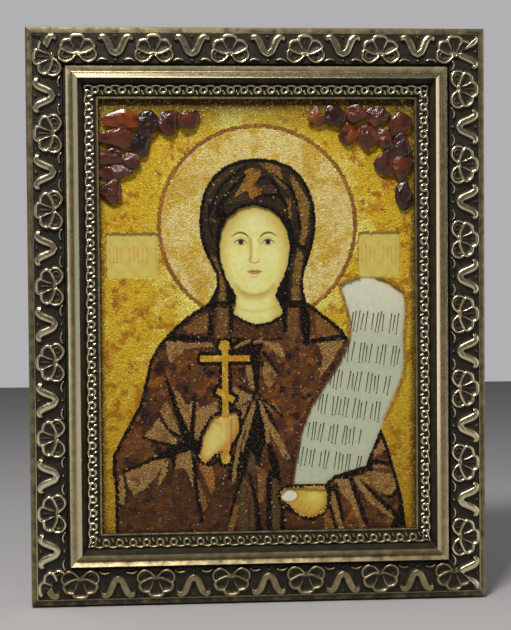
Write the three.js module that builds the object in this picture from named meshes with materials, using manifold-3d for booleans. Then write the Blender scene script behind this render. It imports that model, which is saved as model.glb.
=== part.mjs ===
// Amber mosaic icon in a mitred, ornamented moulding, hung from a sawtooth hanger.
// Millimetres, +Z up. The picture faces -Y, and the wall it hangs on is the plane Y = 0.
// Every piece is drawn in picture axes, x right, y up and z out of the wall from the moulding's back,
// and one group stands them up.
import * as THREE from "three";
import { mergeVertices } from "three/addons/utils/BufferGeometryUtils.js";
import Module from "manifold-3d";

// The picture opening, and the gap left between pieces that touch
const SIGHT_WIDTH = 139;
const SIGHT_HEIGHT = 190;
const JOINT_GAP = 0.3;

// What is stacked behind the lip of the moulding, from its back face forwards
const POINT_SETBACK = 2.4;
const POINT_THICKNESS = 0.5;
const BACKING_THICKNESS = 3;
const BOARD_THICKNESS = 3;
const CRUMB_THICKNESS = 0.8;
const REBATE_WIDTH = 6;
const BOARD_CLEARANCE = 0.5;
const BACKING_Z = POINT_SETBACK + POINT_THICKNESS + JOINT_GAP;
const BOARD_Z = BACKING_Z + BACKING_THICKNESS + JOINT_GAP;
const CRUMB_Z = BOARD_Z + BOARD_THICKNESS + JOINT_GAP;
const CRUMB_TOP = CRUMB_Z + CRUMB_THICKNESS;
const REBATE_SHELF = CRUMB_TOP + JOINT_GAP;

// Widths of the moulding's bands, from its outer edge in
const RIM_WIDTH = 2.3;
const RIM_LINE_WIDTH = 0.8;
const GROUND_WIDTH = 12.7;
const GROOVE_WIDTH = 1.5;
const COVE_OUTER_WIDTH = 2.1;
const COVE_INNER_WIDTH = 3.2;
const STEP_WIDTH = 2.2;
const BEAD_BAND_WIDTH = 4.4;
const LIP_GROOVE_WIDTH = 1.1;
const LIP_WIDTH = 0.7;
const GROUND_EDGE = RIM_WIDTH + RIM_LINE_WIDTH;
const GROOVE_EDGE = GROUND_EDGE + GROUND_WIDTH;
const COVE_EDGE = GROOVE_EDGE + GROOVE_WIDTH;
const COVE_VALLEY_EDGE = COVE_EDGE + COVE_OUTER_WIDTH;
const STEP_EDGE = COVE_VALLEY_EDGE + COVE_INNER_WIDTH;
const BEAD_EDGE = STEP_EDGE + STEP_WIDTH;
const LIP_GROOVE_EDGE = BEAD_EDGE + BEAD_BAND_WIDTH;
const LIP_EDGE = LIP_GROOVE_EDGE + LIP_GROOVE_WIDTH;
const RAIL_WIDTH = LIP_EDGE + LIP_WIDTH;

// Rises of the bands, each from the one named
const LIP_THICKNESS = 2.2;
const BEAD_BAND_RISE = 0.4;
const LIP_GROOVE_DEPTH = 0.5;
const COVE_RISE = 4.6;
const COVE_DEPTH = 2.2;
const COVE_OUTER_RISE = 1.3;
const GROUND_RISE = 0.9;
const GROOVE_DEPTH = 0.9;
const RIM_RISE = 0.8;
const RIM_LINE_RISE = 0.4;
const RIM_BEVEL = 0.9;
const EDGE_ROUND = 0.4;
const LIP_TOP = REBATE_SHELF + LIP_THICKNESS;
const BEAD_FLOOR = LIP_TOP + BEAD_BAND_RISE;
const COVE_INNER_TOP = BEAD_FLOOR + COVE_RISE;
const COVE_VALLEY = COVE_INNER_TOP - COVE_DEPTH;
const COVE_OUTER_TOP = COVE_VALLEY + COVE_OUTER_RISE;
const GROUND_TOP = BEAD_FLOOR + GROUND_RISE;
const RIM_TOP = BEAD_FLOOR + RIM_RISE;

// Ornament cast along the moulding: flowers and tulips take turns
const ORNAMENT_PITCH = 33;
const ORNAMENT_ROOT = 0.9;
const FLOWER_REACH = 9.4;
const FLOWER_RELIEF = 1.7;
const FLOWER_DISH = 0.9;
const FLOWER_RIM = 0.86;
const FLOWER_NOTCH = 0.4;
const FLOWER_HEART_OFFSET = -2.4;
const TULIP_WIDTH = 14;
const TULIP_HEIGHT = 9.4;
const TULIP_ARM_WIDTH = 2.6;
const TULIP_RELIEF = 1.5;
const FIRST_FLOWER = { top: -12, bottom: 13.2, left: 13.7, right: -0.1 };

// Ring beads in the inner band
const BEAD_PITCH = 5.9;
const BEAD_RADIUS = 1.7;
const BEAD_RIM_RADIUS = 1.3;
const BEAD_RELIEF = 0.9;
const BEAD_DIMPLE = 0.7;
const BEAD_ROOT = 0.6;
const BEAD_SIDES = 5;

// The halo, and the two name plates left smooth in the mosaic. The picture keeps its layout when
// the opening changes: its places and sizes are hundredths of half the opening's width and height,
// and places are from its centre. The halo is round, so its radius goes by the width.
const HALO = { x: -0.3, y: 42.3, radius: 61 };
const HALO_RING_WIDTH = 1.7;
const HALO_STEPS = 40;
// Each plate's middle, and how far it reaches from there
const PLATES = [
  { x: -79.7, y: 28.2, width: 16.1, height: 10.3 },
  { x: 77.1, y: 28.2, width: 13.1, height: 10.3 },
];

// Amber pebbles glued in the opening's upper corners: how far in from its side and its top,
// size across and up, and turn in degrees
const STONE_HEIGHT = 3.2;
const STONE_SIDES = 6;
const STONES_LEFT = [
  [10.1, 8.6, 14.6, 6.6, -4],
  [21.7, 10.8, 7.2, 8.8, 12],
  [30.3, 10.4, 8.4, 8.2, 0],
  [39.1, 8.8, 8.4, 6.2, -10],
  [7.9, 16.8, 13.2, 7.6, 10],
  [18.1, 19.4, 6.8, 9.2, 20],
  [5.3, 24.8, 8.8, 5.8, 0],
  [14.3, 26.8, 5.6, 6, 30],
  [7.9, 31.8, 13.2, 5.8, -6],
  [4.9, 40.4, 7.4, 8.6, 8],
];
const STONES_RIGHT = [
  [43.5, 7.6, 6.8, 6.4, 0],
  [35.3, 7.4, 7.4, 7.4, 14],
  [26.1, 6.4, 7.8, 6.2, -8],
  [16.1, 7.6, 9.6, 6.8, 6],
  [6.5, 10.8, 8.2, 8.2, -14],
  [29.3, 15.2, 6.8, 8.2, 22],
  [20.9, 16.8, 7.2, 8, -10],
  [12.9, 17.6, 6.2, 7.6, 12],
  [5.5, 20.4, 7, 8.4, 0],
  [13.5, 27.6, 7.2, 8.8, -16],
  [5.5, 30.4, 7.4, 8.6, 8],
  [4.7, 42.4, 6.6, 9.4, 4],
];

// Sawtooth hanger nailed to the back of the top rail
const HANGER_LENGTH = 46;
const HANGER_HEIGHT = 9;
const HANGER_THICKNESS = 0.8;
const HANGER_STANDOFF = 1.4;
const HANGER_FOOT = 8;
const HANGER_RAMP = 2;
const HANGER_TOOTH = 3;
const HANGER_TOOTH_DEPTH = 1.2;
const NAIL_HEAD_RADIUS = 1.7;
const NAIL_HEAD_THICKNESS = 0.5;
const NAIL_RADIUS = 0.6;
const NAIL_LENGTH = 9;
const NAIL_SIDES = 8;
const HANGER_FOOT_Z = -JOINT_GAP;
const WALL_Z = HANGER_FOOT_Z - HANGER_THICKNESS - HANGER_STANDOFF;

// Framer's points: steel tabs pressed into the rebate wall
const POINT_LENGTH = 12;
const POINT_WIDTH = 6;
const POINT_BITE = 5;
const POINT_TIP = 2.4;
const SIDE_POINT_PLACES = [-62, 62];

const OUTER_WIDTH = SIGHT_WIDTH + 2 * RAIL_WIDTH;
const OUTER_HEIGHT = SIGHT_HEIGHT + 2 * RAIL_WIDTH;
const BOARD_MARGIN = REBATE_WIDTH - BOARD_CLEARANCE;
const BOARD_WIDTH = SIGHT_WIDTH + 2 * BOARD_MARGIN;
const BOARD_HEIGHT = SIGHT_HEIGHT + 2 * BOARD_MARGIN;
const REBATE_EDGE = RAIL_WIDTH - REBATE_WIDTH;
const HANGER_Y = OUTER_HEIGHT / 2 - REBATE_EDGE / 2;
const CUT_OVERSHOOT = 2;
const SHARPEST_CORNER = 0.3;
const WELD = 1e-4;

const wasm = await Module();
wasm.setup();

// Joining and cutting

function solid(geometry) {
  const bare = geometry.clone();
  bare.deleteAttribute("normal");
  bare.deleteAttribute("uv");
  const merged = mergeVertices(bare, WELD);
  const mesh = new wasm.Mesh({
    numProp: 3,
    vertProperties: new Float32Array(merged.attributes.position.array),
    triVerts: new Uint32Array(merged.index.array),
  });
  return new wasm.Manifold(mesh);
}

function geometryOf(made) {
  const mesh = made.getMesh();
  const geometry = new THREE.BufferGeometry();
  geometry.setAttribute("position", new THREE.BufferAttribute(mesh.vertProperties, 3));
  geometry.setIndex(new THREE.BufferAttribute(mesh.triVerts, 1));
  geometry.computeVertexNormals();
  return geometry;
}

function joined(pieces) {
  return pieces.reduce((sum, piece) => sum.add(piece));
}

// Flat outlines, as lists of points

function vectors(pairs) {
  return pairs.map(([x, y]) => new THREE.Vector2(x, y));
}

// Points of the picture, given in hundredths of half the opening's width and height from its centre.
function inPicture(pairs) {
  return pairs.map(
    ([x, y]) => new THREE.Vector2((x * SIGHT_WIDTH) / 200, (y * SIGHT_HEIGHT) / 200),
  );
}

function pictureCurve(pairs, steps) {
  return new THREE.SplineCurve(inPicture(pairs)).getPoints(steps);
}

function rectangle(width, height, x = 0, y = 0) {
  const halfWidth = width / 2;
  const halfHeight = height / 2;
  return vectors([
    [x - halfWidth, y - halfHeight],
    [x + halfWidth, y - halfHeight],
    [x + halfWidth, y + halfHeight],
    [x - halfWidth, y + halfHeight],
  ]);
}

function circle(centre, radius, steps) {
  const round = new THREE.EllipseCurve(centre.x, centre.y, radius, radius);
  return round.getPoints(steps).slice(0, steps);
}

// The outline with every side moved outwards by a distance, and sharp corners cut a little short.
function outset(points, distance) {
  const turn = Math.sign(THREE.ShapeUtils.area(points));
  const outwardsFrom = (from, to) => {
    const run = to.clone().sub(from).normalize();
    return new THREE.Vector2(run.y, -run.x).multiplyScalar(turn);
  };
  return points.map((point, i) => {
    const before = points[(i + points.length - 1) % points.length];
    const after = points[(i + 1) % points.length];
    const side = outwardsFrom(before, point);
    const corner = side.clone().add(outwardsFrom(point, after)).normalize();
    const reach = distance / Math.max(corner.dot(side), SHARPEST_CORNER);
    return point.clone().add(corner.multiplyScalar(reach));
  });
}

function prism(points, low, high) {
  const shape = new THREE.Shape(points);
  const geometry = new THREE.ExtrudeGeometry(shape, { depth: high - low, bevelEnabled: false });
  return geometry.translate(0, 0, low);
}

// The moulding

// Section of the moulding: distance in from the outer edge, height above its back face.
function railSection() {
  return [
    [0, 0],
    [0, RIM_TOP - RIM_BEVEL],
    [RIM_BEVEL, RIM_TOP - RIM_BEVEL / 4],
    [RIM_WIDTH, RIM_TOP],
    [RIM_WIDTH + RIM_LINE_WIDTH / 4, RIM_TOP + RIM_LINE_RISE],
    [GROUND_EDGE - RIM_LINE_WIDTH / 4, RIM_TOP + RIM_LINE_RISE],
    [GROUND_EDGE, GROUND_TOP],
    [GROOVE_EDGE, GROUND_TOP],
    [GROOVE_EDGE + EDGE_ROUND, GROUND_TOP - GROOVE_DEPTH],
    [COVE_EDGE, GROUND_TOP - GROOVE_DEPTH],
    [COVE_EDGE, COVE_OUTER_TOP - EDGE_ROUND],
    [COVE_EDGE + EDGE_ROUND, COVE_OUTER_TOP],
    [COVE_VALLEY_EDGE, COVE_VALLEY],
    [STEP_EDGE - EDGE_ROUND, COVE_INNER_TOP],
    [STEP_EDGE, COVE_INNER_TOP - EDGE_ROUND],
    [BEAD_EDGE, BEAD_FLOOR],
    [LIP_GROOVE_EDGE, BEAD_FLOOR],
    [LIP_GROOVE_EDGE + EDGE_ROUND, LIP_TOP - LIP_GROOVE_DEPTH],
    [LIP_EDGE, LIP_TOP - LIP_GROOVE_DEPTH],
    [LIP_EDGE, LIP_TOP],
    [RAIL_WIDTH, LIP_TOP],
    [RAIL_WIDTH, REBATE_SHELF],
    [REBATE_EDGE, REBATE_SHELF],
    [REBATE_EDGE, 0],
  ];
}

// A flower of five petals round a heart: three point out of the frame, two round ones towards the picture.
// This is its right half: directions in degrees, the outline's reach as a share, and where a vein runs.
const FLOWER_HALF = [
  { angle: -80, reach: 0.3, vein: true },
  { angle: -39, reach: 0.72, vein: false },
  { angle: 2, reach: 0.8, vein: true },
  { angle: 22, reach: 0.95, vein: false },
  { angle: 42, reach: 0.95, vein: false },
  { angle: 62, reach: 0.8, vein: true },
  { angle: 81, reach: 1, vein: false },
];

function flowerSpokes() {
  const left = FLOWER_HALF.map((spoke) => ({ ...spoke, angle: 180 - spoke.angle })).reverse();
  return [...FLOWER_HALF, ...left];
}

// A closed body from rings of points round one axis point below and one above.
function ringBody(rings, low, high) {
  const sides = rings[0].length;
  const positions = [...rings.flat(), low, high].flatMap((point) => point.toArray());
  const lowIndex = rings.length * sides;
  const highIndex = lowIndex + 1;
  const faces = [];
  for (let side = 0; side < sides; side += 1) {
    const next = (side + 1) % sides;
    faces.push(lowIndex, next, side);
    for (let ring = 0; ring + 1 < rings.length; ring += 1) {
      const here = ring * sides;
      const above = here + sides;
      faces.push(here + side, here + next, above + next);
      faces.push(here + side, above + next, above + side);
    }
    const top = (rings.length - 1) * sides;
    faces.push(top + side, top + next, highIndex);
  }
  const geometry = new THREE.BufferGeometry();
  geometry.setAttribute("position", new THREE.Float32BufferAttribute(positions, 3));
  geometry.setIndex(faces);
  return geometry;
}

// Heights are from the ground that the flower is cast on. The petals' rims stand up, their veins are
// notched, and all five run down hollow to the heart.
function flower() {
  const spokes = flowerSpokes();
  const ring = (share, heightOf) =>
    spokes.map((spoke) => {
      const direction = THREE.MathUtils.degToRad(spoke.angle);
      const reach = FLOWER_REACH * spoke.reach * share;
      const y = Math.sin(direction) * reach + FLOWER_HEART_OFFSET;
      return new THREE.Vector3(Math.cos(direction) * reach, y, heightOf(spoke));
    });
  const rings = [
    ring(1, () => -ORNAMENT_ROOT),
    ring(FLOWER_RIM, (spoke) => (spoke.vein ? FLOWER_RELIEF - FLOWER_NOTCH : FLOWER_RELIEF)),
  ];
  const low = new THREE.Vector3(0, FLOWER_HEART_OFFSET, -ORNAMENT_ROOT);
  const high = new THREE.Vector3(0, FLOWER_HEART_OFFSET, FLOWER_RELIEF - FLOWER_DISH);
  return ringBody(rings, low, high);
}

// A tulip: one ridged ribbon that runs down from a curled end, round the point and up to the other.
function tulip() {
  const across = TULIP_WIDTH / 2;
  const up = TULIP_HEIGHT / 2;
  const arm = [
    [-0.98 * across, 0.52 * up, 0.3],
    [-0.72 * across, 0.86 * up, 0.7],
    [-0.32 * across, -0.1 * up, 1],
    [0, -0.85 * up, 0.8],
  ];
  const mirrored = arm.slice(0, -1).reverse().map(([x, y, share]) => [-x, y, share]);
  const stations = [...arm, ...mirrored];
  const runBetween = (from, to) => new THREE.Vector2(to[0] - from[0], to[1] - from[1]).normalize();
  const sections = stations.map((station, i) => {
    const [x, y, share] = station;
    const before = stations[i - 1];
    const after = stations[i + 1];
    const run = new THREE.Vector2();
    if (before) run.add(runBetween(before, station));
    if (after) run.add(runBetween(station, after));
    run.setLength((TULIP_ARM_WIDTH / 2) * share);
    return [
      new THREE.Vector3(x + run.y, y - run.x, -ORNAMENT_ROOT),
      new THREE.Vector3(x - run.y, y + run.x, -ORNAMENT_ROOT),
      new THREE.Vector3(x, y, TULIP_RELIEF * THREE.MathUtils.lerp(0.6, 1, share)),
    ];
  });
  return ribbonBody(sections);
}

// A closed body lofted through three-cornered sections.
function ribbonBody(sections) {
  const positions = sections.flat().flatMap((point) => point.toArray());
  const corners = 3;
  const faces = [0, 2, 1];
  for (let station = 0; station + 1 < sections.length; station += 1) {
    for (let corner = 0; corner < corners; corner += 1) {
      const here = station * corners;
      const a = here + corner;
      const b = here + ((corner + 1) % corners);
      faces.push(a, b, b + corners);
      faces.push(a, b + corners, a + corners);
    }
  }
  const end = (sections.length - 1) * corners;
  faces.push(end, end + 1, end + 2);
  const geometry = new THREE.BufferGeometry();
  geometry.setAttribute("position", new THREE.Float32BufferAttribute(positions, 3));
  geometry.setIndex(faces);
  return geometry;
}

// A round body from half its section, bottom to top, standing along z.
function turned(section, sides) {
  return new THREE.LatheGeometry(vectors(section), sides).rotateX(Math.PI / 2);
}

function bead() {
  const section = [
    [0, -BEAD_ROOT],
    [BEAD_RADIUS, -BEAD_ROOT],
    [BEAD_RIM_RADIUS, BEAD_RELIEF],
    [0, BEAD_RELIEF - BEAD_DIMPLE],
  ];
  return turned(section, BEAD_SIDES);
}

// Places along a rail of a pattern that passes through one place and runs to both ends.
function patternPlaces(through, pitch, length) {
  const places = [];
  const first = Math.ceil((-length / 2 - through) / pitch);
  const last = Math.floor((length / 2 - through) / pitch);
  for (let copy = first; copy <= last; copy += 1) {
    places.push(through + copy * pitch);
  }
  return places;
}

// One rail, drawn as the top one: its outer edge is up, half the frame's other size from the centre.
function rail(length, reach, firstFlower) {
  const section = railSection().map(([inwards, height]) => [reach - inwards, height]);
  const bar = new THREE.ExtrudeGeometry(new THREE.Shape(vectors(section)), {
    depth: length,
    bevelEnabled: false,
  });
  bar.translate(0, 0, -length / 2);
  bar.applyMatrix4(
    new THREE.Matrix4().makeBasis(
      new THREE.Vector3(0, 1, 0),
      new THREE.Vector3(0, 0, 1),
      new THREE.Vector3(1, 0, 0),
    ),
  );
  const ornamentLine = reach - GROUND_EDGE - GROUND_WIDTH / 2;
  const beadLine = reach - BEAD_EDGE - BEAD_BAND_WIDTH / 2;
  const beadLength = length - 2 * (BEAD_EDGE + BEAD_BAND_WIDTH / 2);
  const beadCount = Math.floor(beadLength / BEAD_PITCH);
  const pieces = [solid(bar)];
  const put = (geometry, x, y, z) => pieces.push(solid(geometry.translate(x, y, z)));
  for (const place of patternPlaces(firstFlower, ORNAMENT_PITCH, length)) {
    put(flower(), place, ornamentLine, GROUND_TOP);
  }
  for (const place of patternPlaces(firstFlower + ORNAMENT_PITCH / 2, ORNAMENT_PITCH, length)) {
    put(tulip(), place, ornamentLine, GROUND_TOP);
  }
  for (let copy = 0; copy < beadCount; copy += 1) {
    put(bead(), (copy - (beadCount - 1) / 2) * BEAD_PITCH, beadLine, BEAD_FLOOR);
  }
  return joined(pieces).intersect(mitreWedge(length, reach));
}

// What the two mitre cuts leave of a rail.
function mitreWedge(length, reach) {
  const top = reach + CUT_OVERSHOOT;
  const bottom = reach - RAIL_WIDTH - CUT_OVERSHOOT;
  const gap = JOINT_GAP * Math.SQRT1_2;
  const halfAt = (y) => length / 2 - (reach - y) - gap;
  const outline = vectors([
    [-halfAt(top), top],
    [halfAt(top), top],
    [halfAt(bottom), bottom],
    [-halfAt(bottom), bottom],
  ]);
  return solid(prism(outline, -CUT_OVERSHOOT, COVE_INNER_TOP + CUT_OVERSHOOT));
}

// The mosaic

// The veil round the head, down to both shoulders.
function veilOutline() {
  const fromLeftShoulder = [
    [-32.1, 5.7],
    [-26.8, 12.6],
    [-26.9, 20],
    [-34.2, 30.7],
    [-37, 43.2],
    [-33.4, 58.5],
    [-20.7, 69.2],
    [0, 72.9],
    [20.9, 69.1],
    [32.9, 58.3],
    [36.7, 43.7],
    [33.8, 30.4],
    [28.8, 19.7],
    [28.5, 11.8],
    [30.8, 5.3],
  ];
  return pictureCurve(fromLeftShoulder, 28);
}

// The opening in the veil: an oval for the face, running down into the neck.
function faceOutline() {
  const fromNeck = [
    [-16.5, 1.3],
    [-14.1, 9.5],
    [-21, 18.9],
    [-24.5, 32.6],
    [-18.7, 45.3],
    [-2.4, 51.2],
    [14.1, 45.3],
    [19.9, 32.6],
    [16.4, 18.9],
    [10.4, 9.5],
    [15.3, 1.1],
    [-0.9, -3.8],
  ];
  return pictureCurve([...fromNeck, fromNeck[0]], 24).slice(0, -1);
}

// Shoulders, sleeves and mantle, down to the lower edge of the board.
function mantleOutline() {
  const bottom = (-100 * BOARD_HEIGHT) / SIGHT_HEIGHT;
  const leftSide = pictureCurve(
    [
      [-25.9, 8.4],
      [-43.6, 0.6],
      [-59.6, -9.9],
      [-69.1, -21.1],
      [-75.7, -40.9],
      [-92.7, -64],
      [-91.5, -80.3],
      [-91.7, bottom],
    ],
    14,
  );
  const rightSide = pictureCurve(
    [
      [94.2, bottom],
      [92.1, -89.5],
      [88.1, -76.8],
      [80.9, -59.1],
      [71.9, -42.1],
      [63.3, -23.2],
      [56.1, -9.5],
      [42.6, -0.4],
      [25.9, 8.4],
    ],
    14,
  );
  return [...leftSide, ...rightSide];
}

// The unrolled scroll, hanging over the sleeve.
function scrollOutline() {
  const leftEdge = pictureCurve(
    [
      [52.9, 13.9],
      [59.3, -6.3],
      [51.9, -22],
      [30.2, -47.7],
      [21.6, -78.5],
    ],
    10,
  );
  const lowerEdge = inPicture([
    [42, -78.7],
    [47.5, -74.9],
    [67.8, -70.5],
  ]);
  const rightEdge = pictureCurve(
    [
      [80, -48.9],
      [92.1, -27.6],
      [92.7, -10.5],
      [92.4, 10.3],
      [73.4, 17.6],
      [61.9, 16.7],
    ],
    10,
  );
  return [...leftEdge, ...lowerEdge, ...rightEdge];
}

// The hand that holds the cross, with its wrist.
function upperHandOutline() {
  return inPicture([
    [-29.6, -47.6],
    [-24.3, -45.7],
    [-13.8, -44.5],
    [-13.2, -53.3],
    [-20.1, -62.1],
    [-31.7, -68.2],
    [-38, -64.6],
    [-35.7, -55.4],
  ]);
}

// The hand under the scroll, with the rolled-up end it holds.
function lowerHandOutline() {
  return inPicture([
    [13.2, -83.2],
    [18.1, -80.4],
    [43.9, -81.7],
    [42.4, -89.2],
    [33.4, -94.6],
    [20.7, -90.3],
    [14.1, -86.9],
  ]);
}

// A long cross held upright, with one straight bar, one slanted bar and round ends.
const CROSS_PLACE = { x: -21.6, y: -40 };
const CROSS_HEIGHT = 50.8;
const CROSS_STEM_WIDTH = 2.6;
const CROSS_BAR_DROP = 6.1;
const CROSS_BAR_LENGTH = 21.8;
const CROSS_SLANT_DROP = 22.4;
const CROSS_SLANT_LENGTH = 8.6;
const CROSS_SLANT = -30;
const CROSS_KNOB_RADIUS = 2;
const CROSS_KNOB_SIDES = 8;

function crossPieces(margin) {
  const [{ x, y }] = inPicture([[CROSS_PLACE.x, CROSS_PLACE.y]]);
  const top = y + CROSS_HEIGHT / 2;
  const foot = y - CROSS_HEIGHT / 2;
  const width = CROSS_STEM_WIDTH + 2 * margin;
  const turn = THREE.MathUtils.degToRad(CROSS_SLANT);
  const slanted = rectangle(CROSS_SLANT_LENGTH + 2 * margin, width).map((point) =>
    point
      .rotateAround(new THREE.Vector2(), turn)
      .add(new THREE.Vector2(x, top - CROSS_SLANT_DROP)),
  );
  const knobAt = (height) =>
    circle(new THREE.Vector2(x, height), CROSS_KNOB_RADIUS + margin, CROSS_KNOB_SIDES);
  return [
    rectangle(width, CROSS_HEIGHT, x, y),
    rectangle(CROSS_BAR_LENGTH + 2 * margin, width, x, top - CROSS_BAR_DROP),
    slanted,
    knobAt(top),
    knobAt(foot),
  ];
}

function plateOutline({ x, y, width, height }) {
  return inPicture([
    [x - width, y - height],
    [x + width, y - height],
    [x + width, y + height],
    [x - width, y + height],
  ]);
}

function crumbField(points) {
  return solid(prism(points, CRUMB_Z, CRUMB_TOP));
}

// What is taken out of a field so that the piece drawn by the outline fits in it.
function crumbCut(points) {
  return solid(prism(outset(points, JOINT_GAP), CRUMB_Z - CUT_OVERSHOOT, CRUMB_TOP + CUT_OVERSHOOT));
}

function crossCut() {
  const low = CRUMB_Z - CUT_OVERSHOOT;
  const high = CRUMB_TOP + CUT_OVERSHOOT;
  return joined(crossPieces(JOINT_GAP).map((points) => solid(prism(points, low, high))));
}

// The mosaic's crumb beds, one for each colour area. Face, hands, scroll and plates stay bare board.
function crumbBeds() {
  const veilCut = crumbCut(veilOutline());
  const faceCut = crumbCut(faceOutline());
  const scrollCut = crumbCut(scrollOutline());
  const figureCut = joined([veilCut, faceCut, scrollCut, crumbCut(mantleOutline())]);
  const [haloCentre] = inPicture([[HALO.x, HALO.y]]);
  const haloRadius = (HALO.radius * SIGHT_WIDTH) / 200;
  const halo = circle(haloCentre, haloRadius, HALO_STEPS);
  const haloRing = circle(haloCentre, haloRadius + HALO_RING_WIDTH, HALO_STEPS);
  const handCuts = [upperHandOutline(), lowerHandOutline()].map(crumbCut);
  const cutFromBackground = joined([
    figureCut,
    crumbCut(haloRing),
    ...PLATES.map(plateOutline).map(crumbCut),
  ]);
  const cutFromMantle = joined([veilCut, faceCut, scrollCut, crossCut(), ...handCuts]);
  return {
    amber_background: crumbField(rectangle(BOARD_WIDTH, BOARD_HEIGHT)).subtract(cutFromBackground),
    amber_halo_ring: crumbField(haloRing)
      .subtract(crumbCut(halo))
      .subtract(figureCut),
    amber_halo: crumbField(halo).subtract(figureCut),
    amber_veil: crumbField(veilOutline()).subtract(faceCut),
    amber_mantle: crumbField(mantleOutline()).subtract(cutFromMantle),
    amber_cross: joined(crossPieces(0).map(crumbField)),
  };
}

// One pebble: a low cushion with a blunt top.
function stone(width, height, degrees) {
  const section = [
    [0, 0],
    [1, 0],
    [0.8, 0.72],
    [0, 1],
  ];
  const turn = THREE.MathUtils.degToRad(degrees);
  return turned(section, STONE_SIDES).scale(width / 2, height / 2, STONE_HEIGHT).rotateZ(turn);
}

// Fixings at the back

// The hanger strip seen from above: two feet on the rail and a raised middle, one thickness all along.
function hangerStrip() {
  const half = HANGER_LENGTH / 2;
  const footEnd = half - HANGER_FOOT;
  const raisedEnd = footEnd - HANGER_RAMP;
  const raised = HANGER_FOOT_Z - HANGER_STANDOFF;
  const front = [
    [-half, HANGER_FOOT_Z],
    [-footEnd, HANGER_FOOT_Z],
    [-raisedEnd, raised],
    [raisedEnd, raised],
    [footEnd, HANGER_FOOT_Z],
    [half, HANGER_FOOT_Z],
  ];
  const back = front.map(([x, z]) => [x, z - HANGER_THICKNESS]).reverse();
  const strip = prism(vectors([...front, ...back]), -HANGER_HEIGHT / 2, HANGER_HEIGHT / 2);
  return solid(strip.rotateX(Math.PI / 2));
}

function hanger() {
  const half = HANGER_LENGTH / 2 - HANGER_FOOT - HANGER_RAMP;
  const toothCount = Math.floor((2 * half) / HANGER_TOOTH);
  const low = -HANGER_HEIGHT / 2;
  const cuts = [];
  for (let tooth = 0; tooth < toothCount; tooth += 1) {
    const x = (tooth - (toothCount - 1) / 2) * HANGER_TOOTH;
    const notch = vectors([
      [x - HANGER_TOOTH / 2, low - JOINT_GAP],
      [x + HANGER_TOOTH / 2, low - JOINT_GAP],
      [x, low + HANGER_TOOTH_DEPTH],
    ]);
    cuts.push(solid(prism(notch, WALL_Z - CUT_OVERSHOOT, 0)));
  }
  return hangerStrip().subtract(joined(cuts));
}

function nailX(side) {
  return side * (HANGER_LENGTH / 2 - HANGER_FOOT / 2);
}

// A nail from its head, behind the hanger's foot, to its end in the rail.
function nail(margin) {
  const headLow = HANGER_FOOT_Z - HANGER_THICKNESS - JOINT_GAP - NAIL_HEAD_THICKNESS;
  const headHigh = headLow + NAIL_HEAD_THICKNESS;
  const section = [
    [0, headLow],
    [NAIL_HEAD_RADIUS + margin, headLow],
    [NAIL_HEAD_RADIUS + margin, headHigh],
    [NAIL_RADIUS + margin, headHigh],
    [NAIL_RADIUS + margin, NAIL_LENGTH + margin],
    [0, NAIL_LENGTH + margin],
  ];
  return turned(section, NAIL_SIDES);
}

function nailHole(side, y) {
  return solid(nail(JOINT_GAP).translate(nailX(side), y, 0));
}

// A framer's point in the top rail's rebate wall, its tip over the backing board.
function framerPoint(place, reach, margin) {
  const wall = reach - REBATE_EDGE;
  const half = POINT_WIDTH / 2 + margin;
  const free = POINT_LENGTH - POINT_BITE + margin;
  const outline = vectors([
    [place - half, wall + POINT_BITE + margin],
    [place - half, wall - free + POINT_TIP],
    [place, wall - free],
    [place + half, wall - free + POINT_TIP],
    [place + half, wall + POINT_BITE + margin],
  ]);
  return prism(outline, POINT_SETBACK - margin, POINT_SETBACK + POINT_THICKNESS + margin);
}

// Putting it together

const GOLD = new THREE.MeshStandardMaterial({ color: 0x8c7c4c, roughness: 0.38, metalness: 0.85 });
const BOARD = new THREE.MeshStandardMaterial({ color: 0xe6d79a, roughness: 0.6, metalness: 0 });
const BACKING = new THREE.MeshStandardMaterial({ color: 0x8a6844, roughness: 0.85, metalness: 0 });
const STEEL = new THREE.MeshStandardMaterial({ color: 0xb0b2b4, roughness: 0.35, metalness: 1 });
const STONE = new THREE.MeshStandardMaterial({ color: 0x5a1a0c, roughness: 0.15, metalness: 0 });
const CRUMB_COLOURS = {
  amber_background: 0xd8a83a,
  amber_halo_ring: 0xb07438,
  amber_halo: 0xe2b98a,
  amber_veil: 0x3a2c1c,
  amber_mantle: 0x5e3420,
  amber_cross: 0xd8b64c,
};

const picture = new THREE.Group();

function add(name, made, material, turn = 0) {
  const mesh = new THREE.Mesh(geometryOf(made), material);
  mesh.name = name;
  mesh.rotation.z = turn;
  picture.add(mesh);
  return mesh;
}

// Each side's length, its reach from the centre, its turn from the top one, and its points' places
const SIDES = {
  top: { length: OUTER_WIDTH, reach: OUTER_HEIGHT / 2, turn: 0, points: [0] },
  left: {
    length: OUTER_HEIGHT,
    reach: OUTER_WIDTH / 2,
    turn: Math.PI / 2,
    points: SIDE_POINT_PLACES,
  },
  bottom: { length: OUTER_WIDTH, reach: OUTER_HEIGHT / 2, turn: Math.PI, points: [0] },
  right: {
    length: OUTER_HEIGHT,
    reach: OUTER_WIDTH / 2,
    turn: -Math.PI / 2,
    points: SIDE_POINT_PLACES,
  },
};

for (const [side, { length, reach, turn, points }] of Object.entries(SIDES)) {
  const slots = points.map((place) => solid(framerPoint(place, reach, JOINT_GAP)));
  const holes = side === "top" ? [-1, 1].map((end) => nailHole(end, HANGER_Y)) : [];
  const cuts = joined([...slots, ...holes]);
  add(`frame_rail_${side}`, rail(length, reach, FIRST_FLOWER[side]).subtract(cuts), GOLD, turn);
  points.forEach((place, i) => {
    const name = `framer_point_${side}_${i + 1}`;
    add(name, solid(framerPoint(place, reach, 0)), STEEL, turn);
  });
}

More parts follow.
